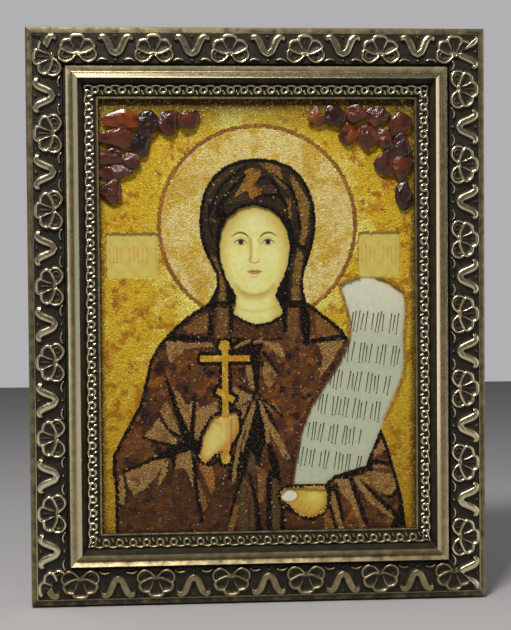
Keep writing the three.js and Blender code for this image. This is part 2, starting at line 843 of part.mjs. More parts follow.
const boardOutline = rectangle(BOARD_WIDTH, BOARD_HEIGHT);
add("icon_board", solid(prism(boardOutline, BOARD_Z, BOARD_Z + BOARD_THICKNESS)), BOARD);
add("backing_board", solid(prism(boardOutline, BACKING_Z, BACKING_Z + BACKING_THICKNESS)), BACKING);

for (const [name, bed] of Object.entries(crumbBeds())) {
  const look = { color: CRUMB_COLOURS[name], roughness: 0.3, metalness: 0 };
  add(name, bed, new THREE.MeshStandardMaterial(look));
}

const STONE_CORNERS = { left: [-1, STONES_LEFT], right: [1, STONES_RIGHT] };

for (const [side, [end, stones]] of Object.entries(STONE_CORNERS)) {
  stones.forEach(([inwards, down, width, height, degrees], i) => {
    const name = `amber_stone_${side}_${i + 1}`;
    const mesh = add(name, solid(stone(width, height, degrees)), STONE);
    mesh.position.x = end * (SIGHT_WIDTH / 2 - inwards);
    mesh.position.y = SIGHT_HEIGHT / 2 - down;
    mesh.position.z = CRUMB_TOP + JOINT_GAP;
  });
}

const holesInHanger = [-1, 1].map((end) => nailHole(end, 0));
const hangerMesh = add("sawtooth_hanger", hanger().subtract(joined(holesInHanger)), STEEL);
hangerMesh.position.y = HANGER_Y;
for (const [name, end] of Object.entries({ hanger_nail_left: -1, hanger_nail_right: 1 })) {
  const mesh = add(name, solid(nail(0)), STEEL);
  mesh.position.set(nailX(end), HANGER_Y, 0);
}

picture.rotation.x = Math.PI / 2;
picture.position.set(0, WALL_Z, -HANGER_Y);

const icon = new THREE.Group();
icon.add(picture);

export default icon;
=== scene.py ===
import math

import bmesh
import bpy
import numpy as np
from mathutils import Matrix, Vector, noise
from mathutils.bvhtree import BVHTree


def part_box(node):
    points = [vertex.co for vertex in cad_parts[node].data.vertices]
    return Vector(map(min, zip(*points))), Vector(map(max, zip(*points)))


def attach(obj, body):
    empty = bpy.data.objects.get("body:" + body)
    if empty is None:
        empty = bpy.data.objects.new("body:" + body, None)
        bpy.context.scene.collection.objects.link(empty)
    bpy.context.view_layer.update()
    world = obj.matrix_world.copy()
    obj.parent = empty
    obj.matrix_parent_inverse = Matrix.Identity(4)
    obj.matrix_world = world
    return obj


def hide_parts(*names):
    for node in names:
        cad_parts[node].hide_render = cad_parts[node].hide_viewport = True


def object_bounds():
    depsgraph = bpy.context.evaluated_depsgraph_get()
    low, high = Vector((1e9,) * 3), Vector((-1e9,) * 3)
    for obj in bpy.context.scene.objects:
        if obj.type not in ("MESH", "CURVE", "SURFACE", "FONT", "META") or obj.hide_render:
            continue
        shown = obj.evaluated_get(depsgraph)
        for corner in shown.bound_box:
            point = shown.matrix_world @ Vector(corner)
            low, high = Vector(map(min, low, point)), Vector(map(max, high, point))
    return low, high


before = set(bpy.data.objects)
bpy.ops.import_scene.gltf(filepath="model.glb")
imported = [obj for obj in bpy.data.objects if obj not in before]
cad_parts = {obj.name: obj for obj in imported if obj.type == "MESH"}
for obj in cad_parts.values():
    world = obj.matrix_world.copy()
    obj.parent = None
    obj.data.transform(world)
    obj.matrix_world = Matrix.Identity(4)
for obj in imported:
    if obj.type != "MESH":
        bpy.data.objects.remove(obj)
cad_low, cad_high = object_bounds()

# The camera stood a little left of the panel's middle and above it, 0.6 m in front of the wall,
# with its back turned slightly, so the panel is seen almost square on.
CAMERA_PLACE = Vector((-0.0409, -0.6031, -0.0969))
CAMERA_TILT = 1.574
CAMERA_PAN = 3.829
CAMERA_ROLL = 0.54
SENSOR_HEIGHT = 36
LENS = 76.6
NEAREST_SEEN = 0.01


def turn(degrees, axis):
    return Matrix.Rotation(math.radians(degrees), 4, axis)


def add_object(name, data):
    thing = bpy.data.objects.new(name, data)
    bpy.context.scene.collection.objects.link(thing)
    return thing


def set_up_camera():
    data = bpy.data.cameras.new("camera")
    data.sensor_fit = "VERTICAL"
    data.sensor_height = SENSOR_HEIGHT
    data.lens = LENS
    data.clip_start = NEAREST_SEEN
    camera = add_object("camera", data)
    panel_seen = turn(CAMERA_ROLL, "Z") @ turn(CAMERA_PAN, "Y") @ turn(CAMERA_TILT, "X")
    stand_up = turn(90, "X")
    camera.matrix_world = Matrix.Translation(CAMERA_PLACE) @ stand_up @ panel_seen.transposed()
    bpy.context.scene.camera = camera


set_up_camera()

# A plain pale floor under the hung panel. One soft lamp stands high in front, a little to the left,
# so the frame's lip throws a narrow shadow on the picture; another shines down from over the frame.
FLOOR_COLOUR = (0.52, 0.52, 0.54)
FLOOR_COLOUR_DARK = (0.4992, 0.4992, 0.5184)
ROOM_COLOUR = (0.44, 0.435, 0.45, 1)
ROOM_LIGHT = 0.2
FLOOR_DROP = 0.0008
FLOOR_SIZE = 2.4
WARM_WHITE = (1.0, 0.97, 0.92)
LAMP_WHITE = (1.0, 0.97, 0.90)
COOL_WHITE = (0.95, 0.97, 1.0)


class Finish:
    """One material, put together from nodes round its shader."""

    def __init__(self, name):
        self.material = bpy.data.materials.new(name)
        self.material.use_nodes = True
        self.tree = self.material.node_tree
        self.shader = self.tree.nodes["Principled BSDF"]

    def feed(self, node, name, value):
        """Gives a node's input a plain value, or what another node puts out."""
        if isinstance(value, bpy.types.NodeSocket):
            self.tree.links.new(value, node.inputs[name])
        else:
            node.inputs[name].default_value = value

    def add(self, kind, inputs, **settings):
        node = self.tree.nodes.new("ShaderNode" + kind)
        for name, value in settings.items():
            setattr(node, name, value)
        for name, value in inputs.items():
            self.feed(node, name, value)
        return node

    def give(self, **inputs):
        """Sets the shader's own inputs, whose names are written here with underscores."""
        for name, value in inputs.items():
            self.feed(self.shader, name.replace("_", " "), value)

    def ramp(self, value, *stops):
        node = self.add("ValToRGB", {"Fac": value})
        elements = node.color_ramp.elements
        while len(elements) < len(stops):
            elements.new(0.5)
        for element, (position, colour) in zip(elements, stops):
            element.position = position
            element.color = (*colour, 1)
        return node.outputs["Color"]

    def noise(self, scale, detail=4, stretch=(1, 1, 1)):
        place = self.add("TexCoord", {}).outputs["Object"]
        mapping = self.add("Mapping", {"Vector": place, "Scale": stretch})
        inputs = {"Vector": mapping.outputs["Vector"], "Scale": scale, "Detail": detail}
        return self.add("TexNoise", inputs).outputs["Fac"]

    def span(self, value, low, high, to_low=0.0, to_high=1.0):
        limits = {"From Min": low, "From Max": high, "To Min": to_low, "To Max": to_high}
        return self.add("MapRange", {"Value": value, **limits}).outputs["Result"]

    def math(self, operation, *values, clamp=False):
        inputs = dict(enumerate(values))
        return self.add("Math", inputs, operation=operation, use_clamp=clamp).outputs[0]

    def attribute(self, name, output):
        return self.add("Attribute", {}, attribute_name=name).outputs[output]

    def bump(self, height, strength, distance):
        inputs = {"Height": height, "Strength": strength, "Distance": distance}
        self.give(Normal=self.add("Bump", inputs).outputs["Normal"])


def mesh_from(bm, name):
    data = bpy.data.meshes.new(name)
    bm.to_mesh(data)
    bm.free()
    return data


def add_light(name, size, power, place, aim, colour):
    data = bpy.data.lights.new(name, "AREA")
    data.shape = "RECTANGLE"
    data.size, data.size_y = size
    data.energy = power
    data.color = colour
    light = add_object(name, data)
    light.location = place
    light.rotation_euler = (Vector(aim) - Vector(place)).to_track_quat("-Z", "Y").to_euler()


def set_up_air():
    """The camera sees a plain pale room, which lights the panel only a little."""
    world = bpy.data.worlds.new("room")
    world.use_nodes = True
    nodes, links = world.node_tree.nodes, world.node_tree.links
    background = nodes["Background"]
    background.inputs["Color"].default_value = ROOM_COLOUR
    path = nodes.new("ShaderNodeLightPath")
    strength = nodes.new("ShaderNodeMapRange")
    strength.inputs["To Min"].default_value = ROOM_LIGHT
    links.new(path.outputs["Is Camera Ray"], strength.inputs["Value"])
    links.new(strength.outputs["Result"], background.inputs["Strength"])
    bpy.context.scene.world = world
    bpy.context.scene.view_settings.view_transform = "Standard"


def lay_floor():
    bm = bmesh.new()
    bmesh.ops.create_grid(bm, x_segments=1, y_segments=1, size=FLOOR_SIZE / 2)
    bmesh.ops.translate(bm, verts=bm.verts, vec=(0, 0, cad_low.z - FLOOR_DROP))
    floor = add_object("floor", mesh_from(bm, "floor"))
    finish = Finish("floor_paint")
    clouds = finish.add("TexNoise", {"Scale": 40}).outputs["Fac"]
    colour = finish.ramp(clouds, (0.0, FLOOR_COLOUR_DARK), (1.0, FLOOR_COLOUR))
    finish.give(Base_Color=colour, Roughness=0.9)
    floor.data.materials.append(finish.material)


set_up_air()
lay_floor()
middle = (cad_low + cad_high) / 2
add_light("front_lamp", (0.2, 0.14), 6.8, (-0.22, -0.54, 0.60), middle, WARM_WHITE)
add_light("lamp_over_frame", (0.8, 0.16), 0.8, (-0.14, -0.10, 0.46), middle, LAMP_WHITE)
add_light("card_left", (0.34, 0.6), 0.2, (-0.58, -0.15, -0.08), middle, COOL_WHITE)
add_light("card_right", (0.6, 0.6), 1.0, (0.6, -0.22, -0.08), middle, LAMP_WHITE)

# The frame: four lengths of wooden moulding with cast ornament, gilded, rubbed back to dark
# bronze in the hollows, mitred and glued at the corners. The back and the rebate are bare wood.
MM = 0.001
RELIEF_STEP = 0.26
BEAD_STEP = 0.2
MITRE_GAP = 0.1
# Bands from the outer edge in: where each ends, its height there, how far the gilding is kept
SECTION = [
    (0.0, 0.0, 0.25),
    (0.0, 13.0, 0.55),
    (0.25, 13.7, 0.6),
    (0.9, 14.15, 0.5),
    (2.3, 14.3, 0.42),
    (2.5, 14.65, 0.85),
    (2.9, 14.65, 0.85),
    (3.15, 14.1, 0.1),
    (15.8, 14.1, 0.05),
    (16.0, 13.5, 0.0),
    (17.25, 13.5, 0.0),
    (17.3, 16.9, 0.5),
    (17.55, 17.2, 0.95),
    (17.9, 17.0, 0.82),
    (19.3, 15.95, 0.7),
    (19.5, 15.95, 0.6),
    (19.7, 16.05, 0.95),
    (22.1, 17.9, 1.0),
    (22.45, 18.1, 1.0),
    (22.65, 17.7, 0.3),
    (23.0, 16.6, 0.06),
    (24.75, 13.4, 0.03),
    (24.9, 13.2, 0.03),
    (29.1, 13.2, 0.03),
    (29.4, 12.7, 0.05),
    (29.95, 12.7, 0.1),
    (30.15, 13.0, 0.5),
    (30.3, 13.1, 0.68),
    (30.8, 13.1, 0.68),
    (31.0, 12.95, 0.4),
    (31.0, 10.9, 0.3),
]
# How much gilding each rail keeps; the lower rail's smaller share makes it darker and duller, as painted
# shade on its downward faces
GILDING_AND_SHADE = {"top": 0.95, "bottom": 0.66, "left": 1.0, "right": 1.0}
REBATE = [(25.0, 10.9, 0.0), (25.0, 0.0, 0.0)]
GROUND_BAND = (3.05, 15.9)
GROUND_HEIGHT = 14.4
BEAD_BAND = (24.85, 29.25)
BEAD_FLOOR = 13.5
SLAB_ROOT = 0.9

ORNAMENT_PITCH = 33
FIRST_FLOWER = {"top": -12, "bottom": 13.2, "left": 13.7, "right": -0.1}
HEART_INWARDS = 11.9
# Half a flower: petal edges, lobe and veins as lines from the heart
PETAL_EDGE = [(0.3, 0.3), (2.2, 0.1), (4.4, 0.9), (6.9, 2.5), (7.2, 4.0), (5.9, 5.7), (3.3, 6.3)]
TOP_PETAL = [(3.3, 6.3), (2.7, 7.5), (1.4, 8.1), (0, 8.2)]
LOBE = [(6.9, 2.5), (8.0, 0.6), (7.5, -1.8), (5.2, -3.3), (2.7, -2.6), (0.7, -0.5)]
VEIN = [(3.2, 6.2), (1.9, 3.6), (1.1, 1.3)]
MIDDLE_VEIN = [(0, 8.0), (0, 5.0), (0, 1.4)]
LOBE_CURL = [(3.0, 0.5), (4.6, 1.2), (6.2, 0.5), (6.4, -0.9), (5.1, -1.9), (3.6, -1.2), (4.2, -0.2)]
FLOWER_HEIGHT = 1.7
# The flower's ridges: line, half widths along it, height
FLOWER_RIDGES = (
    (PETAL_EDGE, (0.4, 0.5, 0.6, 0.78, 0.9, 0.85, 0.7), FLOWER_HEIGHT),
    (TOP_PETAL, (0.7, 0.85, 0.95, 1.0), FLOWER_HEIGHT),
    (LOBE, (0.55, 0.65, 0.8, 0.88, 0.75, 0.55), FLOWER_HEIGHT),
    (VEIN, (0.6, 0.48, 0.3), 1.45),
    (MIDDLE_VEIN, (0.2, 0.3, 0.2), 0.9),
    (LOBE_CURL, (0.2, 0.3, 0.4, 0.45, 0.4, 0.3, 0.2), 1.1),
)
# Hollows inside petals and lobes: height of their floor, and how far in the edge's curve reaches
PETAL_HOLLOW = (0.4, 2.3)
LOBE_HOLLOW = (0.3, 1.9)
LOBE_ROOT = (0.6, 0.4)
# Round drops: middle, radius, height
KNOT = ((1.3, -0.1), 0.75, 1.45)
HEART = ((0, -0.3), 0.7, 1.2)
TULIP_ARM = [(-7.2, 6.5), (-6.6, 7.3), (-5.1, 7.4), (-3.8, 6.1), (-2.7, 3.7), (-1.6, 1.2), (0, 0.0)]
TULIP_INNER = [(-6.8, 6.4), (-5.4, 7.9), (-3.9, 7.1), (-2.8, 5.0), (-1.6, 2.6), (0, 1.3)]
DASH = [(-8.3, -3.2), (-7.0, -2.3), (-5.4, -2.1), (-3.8, -2.6)]
# Dots above and below a tulip: how far from its tip, and their radius
DOTS = ((7.7, 0.5), (-2.6, 0.65))
DOT_HEIGHT = 1.3
ORNAMENT_REACH = 9.2
ARM_WIDTHS = (0.9, 1.35, 1.75, 1.95, 1.95, 1.8, 1.5)
TULIP_HEIGHT = 1.55
TULIP_INNER_HEIGHT = 1.65
TULIP_FLATNESS = 2.6
# The rise at which the gilding begins to last, and the further rise over which it becomes whole
ORNAMENT_GILT = (0.74, 0.7)
BEAD_GILT = (0.2, 0.35)
BEAD_PITCH = 5.9
BEAD_COUNT = {"top": 25, "bottom": 24, "left": 34, "right": 34}
RING_MIDDLE = 2.25
RING_RADIUS = 1.35
RING_HALF = 0.66
CORD_HALF = 0.55
DROP_REACH = 1.2
RING_HEIGHT = 0.85
CORD_HEIGHT = 0.8
CORD_MIDDLE = 0.62
CORD_SWING = 0.3
# How much gilding is left, from the bronze of the hollows up, with its colour; then the wood's grain
GILT_TONES = (
    (0.0, (0.020, 0.017, 0.010)),
    (0.3, (0.060, 0.048, 0.026)),
    (0.65, (0.38, 0.31, 0.165)),
    (1.0, (0.84, 0.74, 0.50)),
)
WOOD_TONES = ((0.3, (0.50, 0.34, 0.19)), (0.5, (0.62, 0.45, 0.27)), (0.7, (0.70, 0.54, 0.35)))


def smooth_line(points, steps=6):
    """A rounded line through the points."""
    p = np.array(points, float)
    p = np.vstack([2 * p[0] - p[1], p, 2 * p[-1] - p[-2]])
    t = np.linspace(0, 1, steps, endpoint=False)[:, None]
    runs = []
    for a, b, c, d in zip(p, p[1:], p[2:], p[3:]):
        run = 2 * b + (c - a) * t + (2 * a - 5 * b + 4 * c - d) * t**2
        runs.append((run + (3 * b - a - 3 * c + d) * t**3) / 2)
    return np.vstack(runs + [p[-2:-1]])


def nearest_on_line(line, x, y):
    """Distance from each place to the line, and how far along it the nearest point lies."""
    distance = np.full(x.shape, np.inf)
    along = np.zeros(x.shape)
    count = len(line) - 1
    for i, (a, b) in enumerate(zip(line, line[1:])):
        run = b - a
        share = ((x - a[0]) * run[0] + (y - a[1]) * run[1]) / max(run @ run, 1e-9)
        share = np.clip(share, 0, 1)
        here = np.hypot(x - a[0] - share * run[0], y - a[1] - share * run[1])
        closer = here < distance
        distance = np.where(closer, here, distance)
        along = np.where(closer, (i + share) / count, along)
    return distance, along


def ridge(line, x, y, widths, height, power=2):
    """A rounded ridge along a line: half its width changes evenly through the widths given. A
    higher power makes it flatter on top, with steeper sides."""
    distance, along = nearest_on_line(smooth_line(line), x, y)
    half = np.interp(along, np.linspace(0, 1, len(widths)), widths)
    rise = np.sqrt(np.clip(1 - (distance / half) ** power, 0, 1))
    return height * rise * np.minimum(1, half / max(widths) + 0.25)


def inside(outline, x, y):
    """Whether each place lies inside a closed outline."""
    within = np.zeros(x.shape, bool)
    for (ax, ay), (bx, by) in zip(outline, np.roll(outline, -1, axis=0)):
        if ay == by:
            continue
        crosses = (ay > y) != (by > y)
        within ^= crosses & (x < (bx - ax) * (y - ay) / (by - ay) + ax)
    return within


def mirrored(line):
    return [(-px, py) for px, py in line]


def cupped(line, x, y, reach):
    """The inside of a petal, which rises in a hollow curve to its edge."""
    distance, _ = nearest_on_line(smooth_line(line), x, y)
    return 1.05 * np.clip(1 - distance / reach, 0, 1) ** 1.5


def dome(x, y, centre, radius, height):
    away = np.hypot(x - centre[0], y - centre[1]) / radius
    return height * np.sqrt(np.clip(1 - away**2, 0, 1))


def flower_relief(x, y):
    x = np.abs(x)
    edge = PETAL_EDGE + TOP_PETAL[1:]
    petals = smooth_line(edge)
    petals = np.vstack([petals, mirrored(petals[::-1])])
    lobe = np.vstack([smooth_line(LOBE), [LOBE_ROOT]])
    petal_floor, petal_reach = PETAL_HOLLOW
    lobe_floor, lobe_reach = LOBE_HOLLOW
    in_petals = np.where(inside(petals, x, y), petal_floor + cupped(edge, x, y, petal_reach), 0)
    in_lobe = np.where(inside(lobe, x, y), lobe_floor + cupped(LOBE, x, y, lobe_reach), 0)
    rise = np.maximum(in_petals, in_lobe)
    for line, widths, height in FLOWER_RIDGES:
        rise = np.maximum(rise, ridge(line, x, y, widths, height))
    for drop in (KNOT, HEART):
        rise = np.maximum(rise, dome(x, y, *drop))
    return rise


def tulip_relief(x, y):
    x = -np.abs(x)
    rise = ridge(TULIP_ARM, x, y, ARM_WIDTHS, TULIP_HEIGHT, TULIP_FLATNESS)
    rise = np.maximum(rise, ridge(TULIP_INNER, x, y, (0.5, 0.45, 0.4, 0.4), TULIP_INNER_HEIGHT))
    rise = np.maximum(rise, ridge(DASH, x, y, (0.4, 0.6, 0.65, 0.45), 1.45))
    for dot_y, radius in DOTS:
        rise = np.maximum(rise, dome(x, y, (0, dot_y), radius, DOT_HEIGHT))
    return rise


def bead_relief(x, y):
    """Ring beads in a row: x along it from a bead's middle, y from the band's outer side in."""
    from_ring = np.hypot(x, y - RING_MIDDLE)
    ring = np.clip(1 - ((from_ring - RING_RADIUS) / RING_HALF) ** 2, 0, 1)
    rise = RING_HEIGHT * np.sqrt(ring)
    wave = CORD_MIDDLE + CORD_SWING * np.cos(2 * math.pi * x / BEAD_PITCH)
    cord = np.clip(1 - ((y - wave) / CORD_HALF) ** 2, 0, 1)
    rise = np.maximum(rise, CORD_HEIGHT * np.sqrt(cord))
    beside = np.abs(np.abs(x) - BEAD_PITCH / 2)
    slant = [(-0.25, RING_MIDDLE + 0.5), (0.1, RING_MIDDLE + 1.1), (0.3, RING_MIDDLE + 1.8)]
    side = np.where(x > 0, x - BEAD_PITCH / 2, x + BEAD_PITCH / 2)
    drop = ridge(slant, side, y, (0.4, 0.6, 0.5), 0.8)
    return np.maximum(rise, np.where(beside < DROP_REACH, drop, 0))


def repeated(along, first, pitch):
    """How far each place lies from the middle of the nearest of a row of like shapes."""
    return (along - first + pitch / 2) % pitch - pitch / 2


def ornament_height(side, along, inwards):
    """Height of the cast ornament over the band's ground, and how much gilding is left on it."""
    rise = np.zeros(along.shape)
    y = HEART_INWARDS - inwards
    for start, relief in ((0, flower_relief), (0.5, tulip_relief)):
        x = repeated(along, FIRST_FLOWER[side] + start * ORNAMENT_PITCH, ORNAMENT_PITCH)
        near = np.abs(x) < ORNAMENT_REACH
        rise[near] = np.maximum(rise[near], relief(x[near], y[near]))
    return rise, np.clip((rise - ORNAMENT_GILT[0]) / ORNAMENT_GILT[1], 0, 1)


def bead_height(side, along, inwards):
    first = BEAD_PITCH * ((BEAD_COUNT[side] - 1) % 2) / 2
    rise = bead_relief(repeated(along, first, BEAD_PITCH), inwards - BEAD_BAND[0])
    return rise, np.clip((rise - BEAD_GILT[0]) / BEAD_GILT[1], 0, 1)


class Rail:
    """One length of moulding: its own directions along it and inwards, turned to its side."""

    def __init__(self, side, degrees):
        size = (cad_high - cad_low) / MM
        upright = side in ("left", "right")
        self.side = side
        self.gilding_and_shade = GILDING_AND_SHADE[side]
        self.reach = (size.x if upright else size.z) / 2
        self.length = size.z if upright else size.x
        self.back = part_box("frame_rail_" + side)[1].y
        self.turned = math.radians(degrees)

    def place(self, along, inwards, height):
        out = self.reach - inwards
        x = along * math.cos(self.turned) - out * math.sin(self.turned)
        z = along * math.sin(self.turned) + out * math.cos(self.turned)
        y = -height * MM + self.back
        return x * MM + middle.x, y, z * MM + middle.z


def coordinates(data):
    co = np.empty(len(data.vertices) * 3)
    data.vertices.foreach_get("co", co)
    return co.reshape(-1, 3)


def slab_grid(name, columns, rows, smooth=False):
    """A closed slab from -1 to 1 each way: a fine grid in front, a plain face behind at -1."""
    bm = bmesh.new()
    bmesh.ops.create_grid(bm, x_segments=columns, y_segments=rows, size=1)
    front = list(bm.faces)
    rim = [edge for edge in bm.edges if edge.is_boundary]
    walls = bmesh.ops.extrude_edge_only(bm, edges=rim)["geom"]
    for vert in (item for item in walls if isinstance(item, bmesh.types.BMVert)):
        vert.co.z = -1
    bmesh.ops.contextual_create(bm, geom=[edge for edge in bm.edges if edge.is_boundary])
    for face in front:
        face.smooth = smooth
    data = mesh_from(bm, name)
    return data, coordinates(data)


def relief_strip(rail, band, ground, step, height_of):
    """A carved band of the rail: a fine grid raised by its pattern, with a closed back."""
    outer, inner = band
    columns = round((rail.length - outer - inner) / step)
    data, unit = slab_grid("strip", columns, round((inner - outer) / step), smooth=True)
    inwards = outer + (unit[:, 1] + 1) / 2 * (inner - outer)
    along = unit[:, 0] * (rail.length / 2 - inwards - MITRE_GAP)
    rise, kept = height_of(rail.side, along, inwards)
    height = np.where(unit[:, 2] < -0.5, ground - SLAB_ROOT, ground + rise)
    spots = np.stack(rail.place(along, inwards, height), axis=1)
    data.vertices.foreach_set("co", spots.ravel())
    gilding = data.attributes.new("gilding", "FLOAT", "POINT")
    gilding.data.foreach_set("value", kept * rail.gilding_and_shade)
    return data


def section_spot(vert):
    return round(vert.co.y, 3), round(vert.co.z, 3)


def moulding_bar(rail):
    """The plain bar of the rail: its section swept from mitre to mitre."""
    section = SECTION + REBATE
    bm = bmesh.new()
    layer = bm.verts.layers.float.new("gilding")
    start = [bm.verts.new((0, inwards, height)) for inwards, height, _ in section]
    swept = bmesh.ops.extrude_face_region(bm, geom=[bm.faces.new(start)])["geom"]
    for vert in (item for item in swept if isinstance(item, bmesh.types.BMVert)):
        vert.co.x = 1
    kept = {(inwards, height): share for inwards, height, share in section}
    for vert in bm.verts:
        vert[layer] = kept[section_spot(vert)] * rail.gilding_and_shade
    # the back and the rebate are bare wood
    bare = {spot[:2] for spot in (SECTION[0], SECTION[-1], *REBATE)}
    for face in bm.faces:
        face.material_index = 1 if {section_spot(vert) for vert in face.verts} <= bare else 0
    for vert in bm.verts:
        half = rail.length / 2 - vert.co.y - MITRE_GAP
        along = half if vert.co.x > 0.5 else -half
        vert.co = rail.place(along, vert.co.y, vert.co.z)
    bmesh.ops.recalc_face_normals(bm, faces=bm.faces)
    return mesh_from(bm, "bar")


def add_piece(name, data, slot, *stands_for):
    piece = add_object(name, data)
    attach(piece, "root")
    if stands_for:
        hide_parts(*stands_for)
    return piece


def gilding_material():
    finish = Finish("antique_gilding")
    kept = finish.attribute("gilding", "Fac")
    patches = finish.span(finish.noise(260, 5), 0.3, 0.7, -0.15, 0.15)
    # well covered places are even, half-rubbed ones patchy
    room = finish.span(kept, 0.5, 1.0, 1.0, 0.12)
    worn = finish.math("MULTIPLY_ADD", patches, room, kept, clamp=True)
    # rubbed places are duller
    grain = finish.span(finish.noise(900, 3), 0.3, 0.7, -0.05, 0.08)
    rubbed = finish.span(kept, 0.35, 0.95, 0.52, 0.21)
    finish.give(
        Base_Color=finish.ramp(worn, *GILT_TONES),
        Metallic=finish.span(worn, 0.1, 0.6, 0.35, 1.0),
        Roughness=finish.math("ADD", grain, rubbed),
    )
    finish.bump(finish.noise(2000, 3), 0.06, 0.0004)
    return finish.material


def bare_wood_material(name, stretch):
    finish = Finish(name)
    grain = finish.noise(60, 6, stretch)
    finish.give(Base_Color=finish.ramp(grain, *WOOD_TONES), Roughness=0.75)
    finish.bump(grain, 0.3, 0.0004)
    return finish.material


def frame_rail(side, degrees, *finishes):
    rail = Rail(side, degrees)
    bm = bmesh.new()
    bm.from_mesh(moulding_bar(rail))
    bm.from_mesh(relief_strip(rail, GROUND_BAND, GROUND_HEIGHT, RELIEF_STEP, ornament_height))
    bm.from_mesh(relief_strip(rail, BEAD_BAND, BEAD_FLOOR, BEAD_STEP, bead_height))
    whole = mesh_from(bm, "moulding_" + side)
    for finish in finishes:
        whole.materials.append(finish)
    add_piece("moulding_" + side, whole, "moulding_gold", "frame_rail_" + side)


gilding = gilding_material()
level_wood = bare_wood_material("bare_wood_level", (1, 9, 9))
upright_wood = bare_wood_material("bare_wood_upright", (9, 9, 1))
frame_rail("top", 0, gilding, level_wood)
frame_rail("left", 90, gilding, upright_wood)
frame_rail("bottom", 180, gilding, level_wood)
frame_rail("right", -90, gilding, upright_wood)

# The picture board: a thin gessoed panel in the rebate. Its face shows bare, painted by hand, where
# no amber is laid: face and neck, both hands, the scroll and the two name plates.
FRAME_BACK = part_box("frame_rail_top")[1].y
BOARD_FRONT = (FRAME_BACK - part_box("icon_board")[0].y) / MM
PAINT_STEP = 0.28
FACE_STEP = 0.26
PLAIN_STEP = 0.6
PAINT_BACK = 0.05
PAINT_FRONT = 0.22
SKIN = (232, 226, 140)
SKIN_LIGHT = (236, 234, 170)
SKIN_SHADE = (208, 176, 80)
SKIN_DEEP = (150, 100, 44)
LINE_BROWN = (74, 46, 24)
LIP_RED = (186, 112, 72)
EYE_WHITE = (226, 220, 178)
PUPIL_BLACK = (26, 18, 12)
HAND_OCHRE = (214, 178, 84)
HAND_LIGHT = (222, 206, 112)
HAND_SHINE = (236, 212, 120)
HAND_SHADE = (196, 134, 54)
HAND_HEEL = (196, 140, 60)
HAND_LINE = (172, 112, 46)
PALM_OCHRE = (208, 168, 62)
PALM_LIGHT = (222, 204, 84)
PALM_SHINE = (228, 216, 112)
PALM_SHADE = (190, 126, 50)
PALM_LINE = (170, 112, 44)
ROLL_RIM = (150, 96, 40)
SCROLL_WHITE = (228, 230, 202)
SCROLL_GREY = (194, 202, 172)
SCROLL_GRAIN = (186, 186, 160)
SCROLL_EDGE = (150, 120, 70)
SCROLL_BAND = (178, 138, 52)
PLATE_YELLOW = (214, 202, 102)
PLATE_OCHRE = (206, 180, 84)
INK = (66, 64, 50)
RED_OCHRE = (196, 140, 76)
GESSO_TONES = ((0.3, (0.52, 0.38, 0.20)), (0.7, (0.66, 0.50, 0.29)))


def paint(colour):
    """Linear colour of a paint given as it looks on a screen, 0 to 255."""
    share = np.array(colour, float) / 255
    return np.where(share <= 0.04045, share / 12.92, ((share + 0.055) / 1.055) ** 2.4)


def lay(colours, colour, cover):
    """Brushes a paint over colours, as thickly as cover says at each place."""
    cover = np.clip(cover, 0, 1)[:, None]
    colours += (paint(colour) - colours) * cover


def brush(line, x, y, widths, blur=0.2):
    """How far a brush stroke covers each place. The widths are half the stroke's, evenly spaced."""
    distance, along = nearest_on_line(smooth_line(line), x, y)
    half = np.interp(along, np.linspace(0, 1, len(widths)), widths)
    return np.clip((half - distance) / blur + 0.5, 0, 1)


def spot(x, y, centre, reach, blur=1.0):
    """A soft oval patch, full in the middle and gone at its edge."""
    away = np.hypot((x - centre[0]) / reach[0], (y - centre[1]) / reach[1])
    return np.clip((1 - away) / blur, 0, 1) ** 1.3


# The head is drawn on plain proportions: from hairline to chin three equal parts, brow and nose
# at the joints, five eyes across, the mouth a third of the way down from the nose.
FACE_CENTRE = -1.6
HAIRLINE = 48
CHIN = 11.5
FACE_HALF = 15
FACE_PART = (HAIRLINE - CHIN) / 3
BROW = HAIRLINE - FACE_PART
NOSE = HAIRLINE - 2 * FACE_PART
MOUTH = NOSE - FACE_PART / 3
EYE = BROW - FACE_PART * 0.27
EYE_WIDTH = FACE_HALF * 2 / 5


def paint_skin(colours, side, y):
    off = np.abs(side)
    jaw = np.hypot(side / FACE_HALF, (y - (EYE + CHIN) / 2 - 3) / (HAIRLINE - CHIN) * 1.75)
    lay(colours, SKIN_SHADE, np.clip((jaw - 0.68) / 0.4, 0, 0.9))
    neck = y < CHIN - 0.5 - 2.2 * (1 - np.clip(off / 9, 0, 1) ** 2)
    colours[neck] = paint(SKIN)
    lay(colours, SKIN_SHADE, np.where(neck, np.clip((off - 6) / 5, 0, 0.7), 0))
    under_chin = [(-9, CHIN + 3.2), (-5, CHIN - 1), (0, CHIN - 2.4), (5, CHIN - 1), (9, CHIN + 3.2)]
    lay(colours, SKIN_SHADE, 0.85 * brush(under_chin, side, y + 1.0, (0.1, 1.2, 1.6, 1.2, 0.1), 2.0))
    lay(colours, SKIN_DEEP, 0.45 * brush(under_chin, side, y, (0.02, 0.3, 0.45, 0.3, 0.02), 0.9))
    collar = [(-9, 1.6), (-3, -0.2), (3, -0.2), (9, 1.6)]
    lay(colours, SKIN_SHADE, 0.6 * brush(collar, side, y - 2.4, (0.3, 0.5, 0.3), 1.0))
    for cheek in (6.6, -6.6):
        lay(colours, SKIN_LIGHT, 0.8 * spot(side, y, (cheek, NOSE + 1.6), (5.4, 5.4)))
    lay(colours, SKIN_LIGHT, 0.8 * spot(side, y, (0, BROW + 6.5), (9, 6)))
    lay(colours, SKIN_LIGHT, 0.9 * spot(side, y, (0, CHIN + 3.2), (4.2, 2.8)))
    lay(colours, SKIN_LIGHT, 0.7 * spot(side, y, (0, 5), (7, 4.5)))


